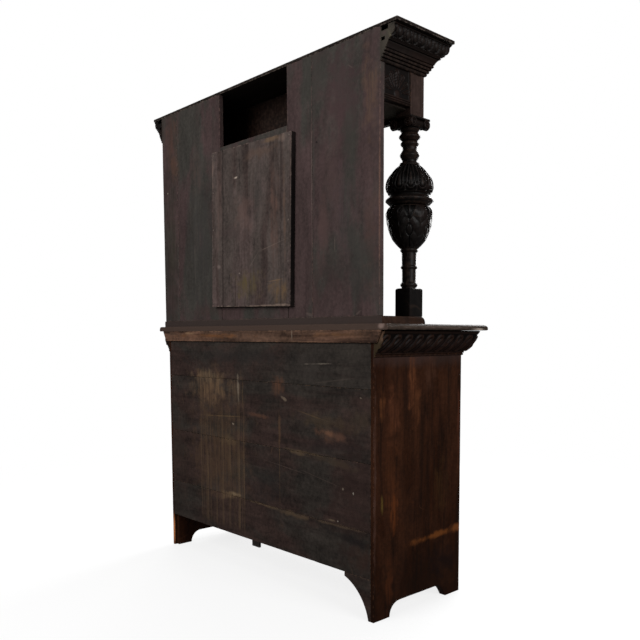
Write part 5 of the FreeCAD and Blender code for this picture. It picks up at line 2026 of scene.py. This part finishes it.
    def leaf(self, rise: float, turn: float) -> float:
        """The height over the cup: broad leaves that part in a V under its rim, with lobes and buds.

        Args:
            rise: The share of the cup's height.
            turn: The angle round the column.

        Returns:
            The height from 0 to 1.
        """
        way = 1 if self.side == "left" else -1
        off = abs((way * turn / math.tau * self.leaves - 0.197) % 1 - 0.5) * 2
        notch = 1 - off - 0.55 * max(rise - 0.6, 0.0) / 0.36
        collar = fade(rise, 0.972, 0.985)
        if notch < 0:
            tongue = ridge(1 - off, 0.1 * fade(rise, 0.62, 0.85))
            return max(collar, 0.85 * tongue)
        scallop = abs(math.sin((rise * 3.6 - off * 0.9) * math.pi)) ** 0.7
        rib = ridge(off, 0.075) * fade(rise, 0.98, 0.85)
        lobes = (0.4 + 0.45 * scallop) * fade(notch, 0.0, 0.12)
        if rise > 0.58:
            return max(lobes, ridge(notch - 0.07, 0.07), rib, collar)
        bud = math.hypot((1 - off) / 0.3, (rise - 0.43) / 0.12)
        return max(lobes * fade(bud, 1.0, 1.25), rib, 0.95 * ridge(bud, 1.0), collar)

    def foot(self, mesh: BMesh) -> None:
        """The square block under the turning, its top edges chamfered.

        Args:
            mesh: The mesh that it joins.
        """
        layer = mesh.verts.layers.float["relief"]
        size = Matrix.Diagonal((self.width, self.width, self.block, 1))
        matrix = Matrix.Translation((0, 0, -self.block / 2)) @ size
        cube = bmesh.ops.create_cube(mesh, size=1.0, matrix=matrix)["verts"]
        top = {edge for vert in cube for edge in vert.link_edges if all(v.co.z > -NEAR for v in edge.verts)}
        made = self.bench.rounded(mesh, list(top), 0.007, 3)
        for vert in mesh.verts:
            if vert.co.z < -self.block * 0.02 or vert in made:
                vert[layer] = 0.66

    def capital(self) -> None:
        """The capital: a slab on four rolls, with a spiral on every roll's end."""
        node = f"capital_{self.side}"
        low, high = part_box(node)
        middle = (low + high) / 2
        half = (high.x - low.x) / 2
        reach = half - self.roll - 0.0006
        mesh = bmesh.new()
        layer = mesh.verts.layers.float.new("relief")
        size = Matrix.Diagonal((2 * half, 2 * half, 0.0065, 1))
        slab = Matrix.Translation((0, 0, high.z - low.z - 0.00325)) @ size
        bmesh.ops.create_cube(mesh, size=1.0, matrix=slab)
        self.bench.eased(mesh, 0.002, 3)
        thick, long = self.roll * 0.86, 2 * half - 0.012
        lying = Matrix.Rotation(math.radians(90), 4, "X")
        for quarter in range(2):
            turn = Matrix.Rotation(math.radians(90 * quarter), 4, "Z")
            for way in (-1, 1):
                place = turn @ Matrix.Translation((way * reach, 0, self.lift)) @ lying
                bmesh.ops.create_cone(
                    mesh, cap_ends=True, segments=28, radius1=thick, radius2=thick, depth=long, matrix=place
                )
        place = Matrix.Translation((0, 0, 0.012))
        bmesh.ops.create_cone(
            mesh, cap_ends=True, segments=40, radius1=0.031, radius2=0.039, depth=0.024, matrix=place
        )
        for vert in mesh.verts:
            vert[layer] = 0.4
        for quarter in range(4):
            turn = Matrix.Rotation(math.radians(90 * quarter), 4, "Z")
            for way in (-1, 1):
                self.scroll(mesh, turn @ Matrix.Translation((way * reach, -half, self.lift)), way)
            egg = turn @ Matrix.Translation((0, 0.009 - half, 0.0135)) @ Matrix.Diagonal((1.25, 0.55, 1, 1))
            made = bmesh.ops.create_uvsphere(mesh, u_segments=18, v_segments=12, radius=0.0098, matrix=egg)
            for vert in made["verts"]:
                vert[layer] = 0.95
        bmesh.ops.translate(mesh, vec=(middle.x, middle.y, low.z), verts=mesh.verts)
        piece = self.bench.publish(f"carved_{node}", mesh, TURNED.slot, [node], 48)
        TURNED.dress(piece, ACROSS, carved=True)

    def scroll(self, mesh: BMesh, place: Matrix, way: int, rings: int = 12) -> None:
        """A roll's round end with a spiral cut in it.

        Args:
            mesh: The mesh that it joins.
            place: Where its middle is and which way it faces.
            way: Which way the spiral winds.
            rings: How many rings of faces it has.
        """
        layer = mesh.verts.layers.float["relief"]
        radius, before = self.roll, set(mesh.verts)
        verts = [mesh.verts.new((radius * (ring + 0.4) / (rings + 0.4), 0, 0)) for ring in range(rings + 1)]
        self.bench.spun(mesh, verts, (0, 1, 0), 40)
        disc = [vert for vert in mesh.verts if vert not in before]
        core = [vert for vert in disc if vert.co.length < radius / 2]
        inner = {edge for vert in core for edge in vert.link_edges if edge.is_boundary}
        bmesh.ops.holes_fill(mesh, edges=list(inner), sides=0)
        for vert in disc:
            away = math.hypot(vert.co.x, vert.co.z) / radius
            turn = math.atan2(vert.co.z, vert.co.x * way) / math.tau
            height = 0.1 + 0.9 * ridge((away * 2.2 - turn) % 1 - 0.5, 0.4)
            if away < 0.34:
                height = 1.0 if away < 0.24 else 0.0
            elif away > 0.9:
                height = 0.8
            vert[layer] = height
            vert.co.y = (1 - height) * 0.003
        fresh = {vert for vert in disc if math.hypot(vert.co.x, vert.co.z) > radius * 0.98}
        outer = [edge for edge in self.bench.rim(mesh) if all(vert in fresh for vert in edge.verts)]
        backs = bmesh.ops.extrude_edge_only(mesh, edges=outer)["geom"]
        backs = [part for part in backs if isinstance(part, BMVert)]
        for vert in backs:
            vert.co.y = 0.012
            vert[layer] = 0.6
        loop = [edge for edge in self.bench.rim(mesh) if all(vert in backs for vert in edge.verts)]
        bmesh.ops.holes_fill(mesh, edges=loop, sides=0)
        bmesh.ops.transform(mesh, matrix=place, verts=disc + backs)


class Canopy(Assembly):
    """The canopy over the niche: posts, friezes, soffit, cornice and the board on top."""

    OUTLINE = (
        (0.0, 0.0, 0.0), (0.02, 0.0, 0.45), (0.1, 0.085, 0.45), (0.18, 0.17, 0.45), (0.26, 0.255, 0.45),
        (0.34, 0.34, 0.0), (0.37, 0.35, -0.15), (0.52, 0.5, 0.0), (0.56, 0.51, 0.6), (0.6, 0.57, 0.0),
        (0.7, 0.59, 0.2), (0.92, 0.88, 0.0), (0.96, 0.89, 0.0), (0.965, 0.95, 0.0), (1.0, 0.965, 0.0),
        (1.0, 1.0, 0.0), (0.0, 1.0, 0.0),
    )

    MORTISES = ((0.004, 0.032, 0.0835, 0.0965), (0.004, 0.019, 0.056, 0.066))

    def build(self) -> None:
        """Makes the canopy's pieces."""
        for side, face in SIDES.items():
            self.post(f"corner_post_{side}", face)
            self.bench.carved_node(f"side_frieze_{side}", face, self.side_frieze, 0.0045, step=0.0016)
        self.bench.carved_node("front_frieze", FRONT, self.front_frieze, 0.005)
        self.bench.board("soffit_board", SOFFIT_BOUNCE_LIGHT, ACROSS, marks=SOFFIT_END_SHADE)
        Moulding(
            self.bench, "cornice", self.OUTLINE, 0.0045, eggs, CORNICE_MARKS, CARVED, self.MORTISES
        ).build()
        self.bench.board("canopy_top", CANOPY, ACROSS, edge=0.0014, rough=0.0004)

    def post(self, node: str, face: Face) -> None:
        """A corner post with a sunk panel on its front and its outer side.

        Args:
            node: The node's name.
            face: Its outer side.
        """
        mesh = self.bench.block(node)
        for way in (Vector((face.way, 0, 0)), Vector((0, -1, 0))):
            side = next(f for f in mesh.faces if f.normal.dot(way) > 0.99 and f.calc_area() > 0.01)
            bmesh.ops.inset_region(mesh, faces=[side], thickness=0.013, depth=0.0, use_even_offset=True)
            bmesh.ops.inset_region(mesh, faces=[side], thickness=0.003, depth=-0.0035, use_even_offset=True)
        self.bench.eased(mesh, 0.0012)
        piece = self.bench.publish(f"panelled_{node}", mesh, POST.slot, [node])
        POST.dress(piece, UPRIGHT)

    def side_frieze(self, across: float, up: float) -> float:
        """The height over a side frieze: a palmette in a sunk field over a reeded edge.

        Args:
            across: The place beside the middle.
            up: The height above the foot.

        Returns:
            The height from 0 to 1.
        """
        if up < 0.013:
            return max(0.35, ridge(up - 0.003, 0.003), ridge(up - 0.0095, 0.0032))
        edge = min(0.0595 - abs(across), up - 0.013)
        if edge < 0.005:
            return 0.85
        field = 0.3 * fade(edge, 0.008, 0.005)
        return 0.16 + 0.55 * max(field, fan(across, up - 0.026, 0.074, 7, 2.5))

    def front_frieze(self, across: float, up: float) -> float:
        """The height over the front frieze: palmettes and buds in turn under round bands.

        Args:
            across: The place beside the middle.
            up: The height above the foot.

        Returns:
            The height from 0 to 1.
        """
        if up < 0.015:
            bead = math.hypot((across / 0.0145 % 1 - 0.5) * 0.0145, up - 0.007)
            return max(0.3, ridge(bead, 0.0062))
        pitch = 0.145
        cell = ((across / pitch + 0.5) % 1 - 0.5) * pitch
        ring = math.hypot(cell, (up - 0.024) * 0.86)
        band = ridge(ring - 0.0665, 0.0042)
        flower = fan(cell, up - 0.026, 0.06)
        between = pitch / 2 - abs(cell)
        bud = lobe(drop(up, between, 0.075, 0.105, 0.002, 0.0095), 0.0024, 0.004)
        return max(0.2, band, flower, bud, fade(0.024 - up, 0.0, 0.003) * 0.8)


@dataclass
class Ironwork(Assembly):
    """The hinges: their leaves, their pins and the screws that hold them.

    Attributes:
        proud: How far a leaf stands before the front stiles.
        leaf: The height of a leaf.
        screw: The radius of a screw's head.
    """

    proud: float = 0.0015
    leaf: float = 0.06
    screw: float = 0.0028

    def build(self) -> None:
        """Makes the iron pieces."""
        for node, body in (
            ("hinge_leaves_frame", "cabinet"),
            ("hinge_leaves_left", "door_left"),
            ("hinge_leaves_right", "door_right"),
            ("hinge_pins", "cabinet"),
        ):
            mesh = self.bench.copied(node)
            self.bench.eased(mesh, 0.0003, 2, 0.003)
            if node != "hinge_pins":
                self.screws(mesh, node)
            piece = self.bench.publish(f"forged_{node}", mesh, IRON.slot, [node], body=body)
            IRON.dress(piece)

    def screws(self, mesh: BMesh, node: str) -> None:
        """Adds three domed screw heads to each leaf.

        Args:
            mesh: The leaves' mesh.
            node: Their node's name.
        """
        low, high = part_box(node)
        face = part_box("front_stiles")[0].y - self.proud
        flat = [vert.co.copy() for vert in mesh.verts if abs(vert.co.y - face) < 0.0004]
        spots: set[tuple[float, float]] = set()
        for level in (low.z, high.z - self.leaf):
            for way in (-1, 1):
                foot, head = level - 0.002, level + self.leaf + 0.002
                xs = [co.x for co in flat if co.x * way > 0 and foot < co.z < head]
                if xs:
                    middle = (min(xs) + max(xs)) / 2
                    spots |= {(middle, level + lift) for lift in (0.01, 0.03, 0.05)}
        for x, z in spots:
            matrix = Matrix.Translation((x, face, z)) @ Matrix.Diagonal((1, 0.45, 1, 1))
            bmesh.ops.create_uvsphere(mesh, u_segments=12, v_segments=6, radius=self.screw, matrix=matrix)


@dataclass
class Studio:
    """The floor, the light and the camera.

    Attributes:
        eye: Where the camera stands.
        turn: Its heading, in degrees from the way to the front towards the right.
        tip: How far it looks up, in degrees.
        lens: Its focal length, in millimetres on a 36 mm sensor.
        shift: How far the picture is moved, as shares of its width.
    """

    eye: tuple[float, float, float] = (-2.1872, 1.8336, 0.9131)
    turn: float = 45.9
    tip: float = -4.65
    lens: float = 40.69
    shift: tuple[float, float] = (-0.0583, 0.1163)

    LAMPS = (
        ("back_softbox", (-0.1, 3.6, 2.6), (0.0, 0.2, 0.9), 2.4, 112),
        ("side_softbox", (-3.9, 0.2, 2.0), (-0.5, 0.0, 0.9), 1.9, 90),
        ("front_softbox", (0.8, -3.8, 2.4), (0.0, 0.0, 0.9), 2.6, 235),
        ("right_softbox", (3.7, -1.9, 2.4), (0.5, 0.0, 0.9), 2.0, 75),
    )

    def build(self) -> None:
        """Makes the studio."""
        self.floor()
        self.sky()
        for lamp in self.LAMPS:
            self.lamp(*lamp)
        self.camera()
        bpy.context.scene.view_settings.view_transform = "Standard"

    def floor(self) -> None:
        """A pale floor, all but white."""
        mesh = bmesh.new()
        bmesh.ops.create_grid(mesh, x_segments=1, y_segments=1, size=40.0)
        data = bpy.data.meshes.new("floor")
        mesh.to_mesh(data)
        mesh.free()
        floor = bpy.data.objects.new("floor", data)
        bpy.context.scene.collection.objects.link(floor)
        graph = Graph("pale_floor")
        place = graph.add("ShaderNodeTexCoord")["Object"]
        away = graph.add("ShaderNodeVectorMath", {"operation": "LENGTH"}, {0: place})["Value"]
        glow = graph.add("ShaderNodeEmission", None, {"Strength": 1.0})[0]
        matt = graph.add("ShaderNodeBsdfDiffuse", None, {"Color": (1.0, 1.0, 1.0, 1.0)})[0]
        share = 0.8 + away.fade(0.8, 3.0) * 0.2
        surface = graph.add("ShaderNodeMixShader", None, {0: share, 1: matt, 2: glow})[0]
        graph.add("ShaderNodeOutputMaterial", None, {"Surface": surface})
        data.materials.append(graph.material)
        floor.visible_diffuse = False
        floor.visible_glossy = False

    def sky(self) -> None:
        """White behind the sideboard, and a softer grey that lights it."""
        world = bpy.data.worlds.new("studio")
        bpy.context.scene.world = world
        world.use_nodes = True
        tree = world.node_tree
        tree.nodes.clear()
        seen = tree.nodes.new("ShaderNodeLightPath")
        white = tree.nodes.new("ShaderNodeBackground")
        white.inputs[0].default_value = (1.0, 1.0, 1.0, 1.0)
        grey = tree.nodes.new("ShaderNodeBackground")
        grey.inputs[0].default_value = (0.17, 0.17, 0.17, 1.0)
        blend = tree.nodes.new("ShaderNodeMixShader")
        out = tree.nodes.new("ShaderNodeOutputWorld")
        tree.links.new(seen.outputs["Is Camera Ray"], blend.inputs[0])
        tree.links.new(grey.outputs[0], blend.inputs[1])
        tree.links.new(white.outputs[0], blend.inputs[2])
        tree.links.new(blend.outputs[0], out.inputs[0])

    def lamp(
        self, name: str, place: Sequence[float], aim: Sequence[float], size: float, power: float
    ) -> None:
        """A soft square lamp.

        Args:
            name: Its name.
            place: Where it hangs.
            aim: What it points at.
            size: The length of its side.
            power: Its power in watts.
        """
        light = bpy.data.lights.new(name, "AREA")
        light.size = size
        light.energy = power
        lamp = bpy.data.objects.new(name, light)
        lamp.location = place
        lamp.rotation_euler = (Vector(aim) - Vector(place)).to_track_quat("-Z", "Y").to_euler()
        bpy.context.scene.collection.objects.link(lamp)

    def camera(self) -> None:
        """The camera, low behind the left rear corner."""
        data = bpy.data.cameras.new("camera")
        data.sensor_width = 36.0
        data.lens = self.lens
        data.shift_x, data.shift_y = self.shift
        data.clip_end = 200.0
        camera = bpy.data.objects.new("camera", data)
        camera.location = self.eye
        camera.rotation_euler = (math.radians(90 + self.tip), 0.0, math.radians(180 + self.turn))
        bpy.context.scene.collection.objects.link(camera)
        bpy.context.scene.camera = camera


def main() -> None:
    """Builds every sub-assembly."""
    logging.basicConfig(level=logging.INFO, format="%(name)s %(message)s")
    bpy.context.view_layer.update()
    bench = Bench()
    Carcass(bench).build()
    Storage(bench).build()
    Top(bench).build()
    Niche(bench).build()
    for side in SIDES:
        Column(bench, side).build()
    Canopy(bench).build()
    Ironwork(bench).build()
    Studio().build()


if __name__ == "__main__":
    main()
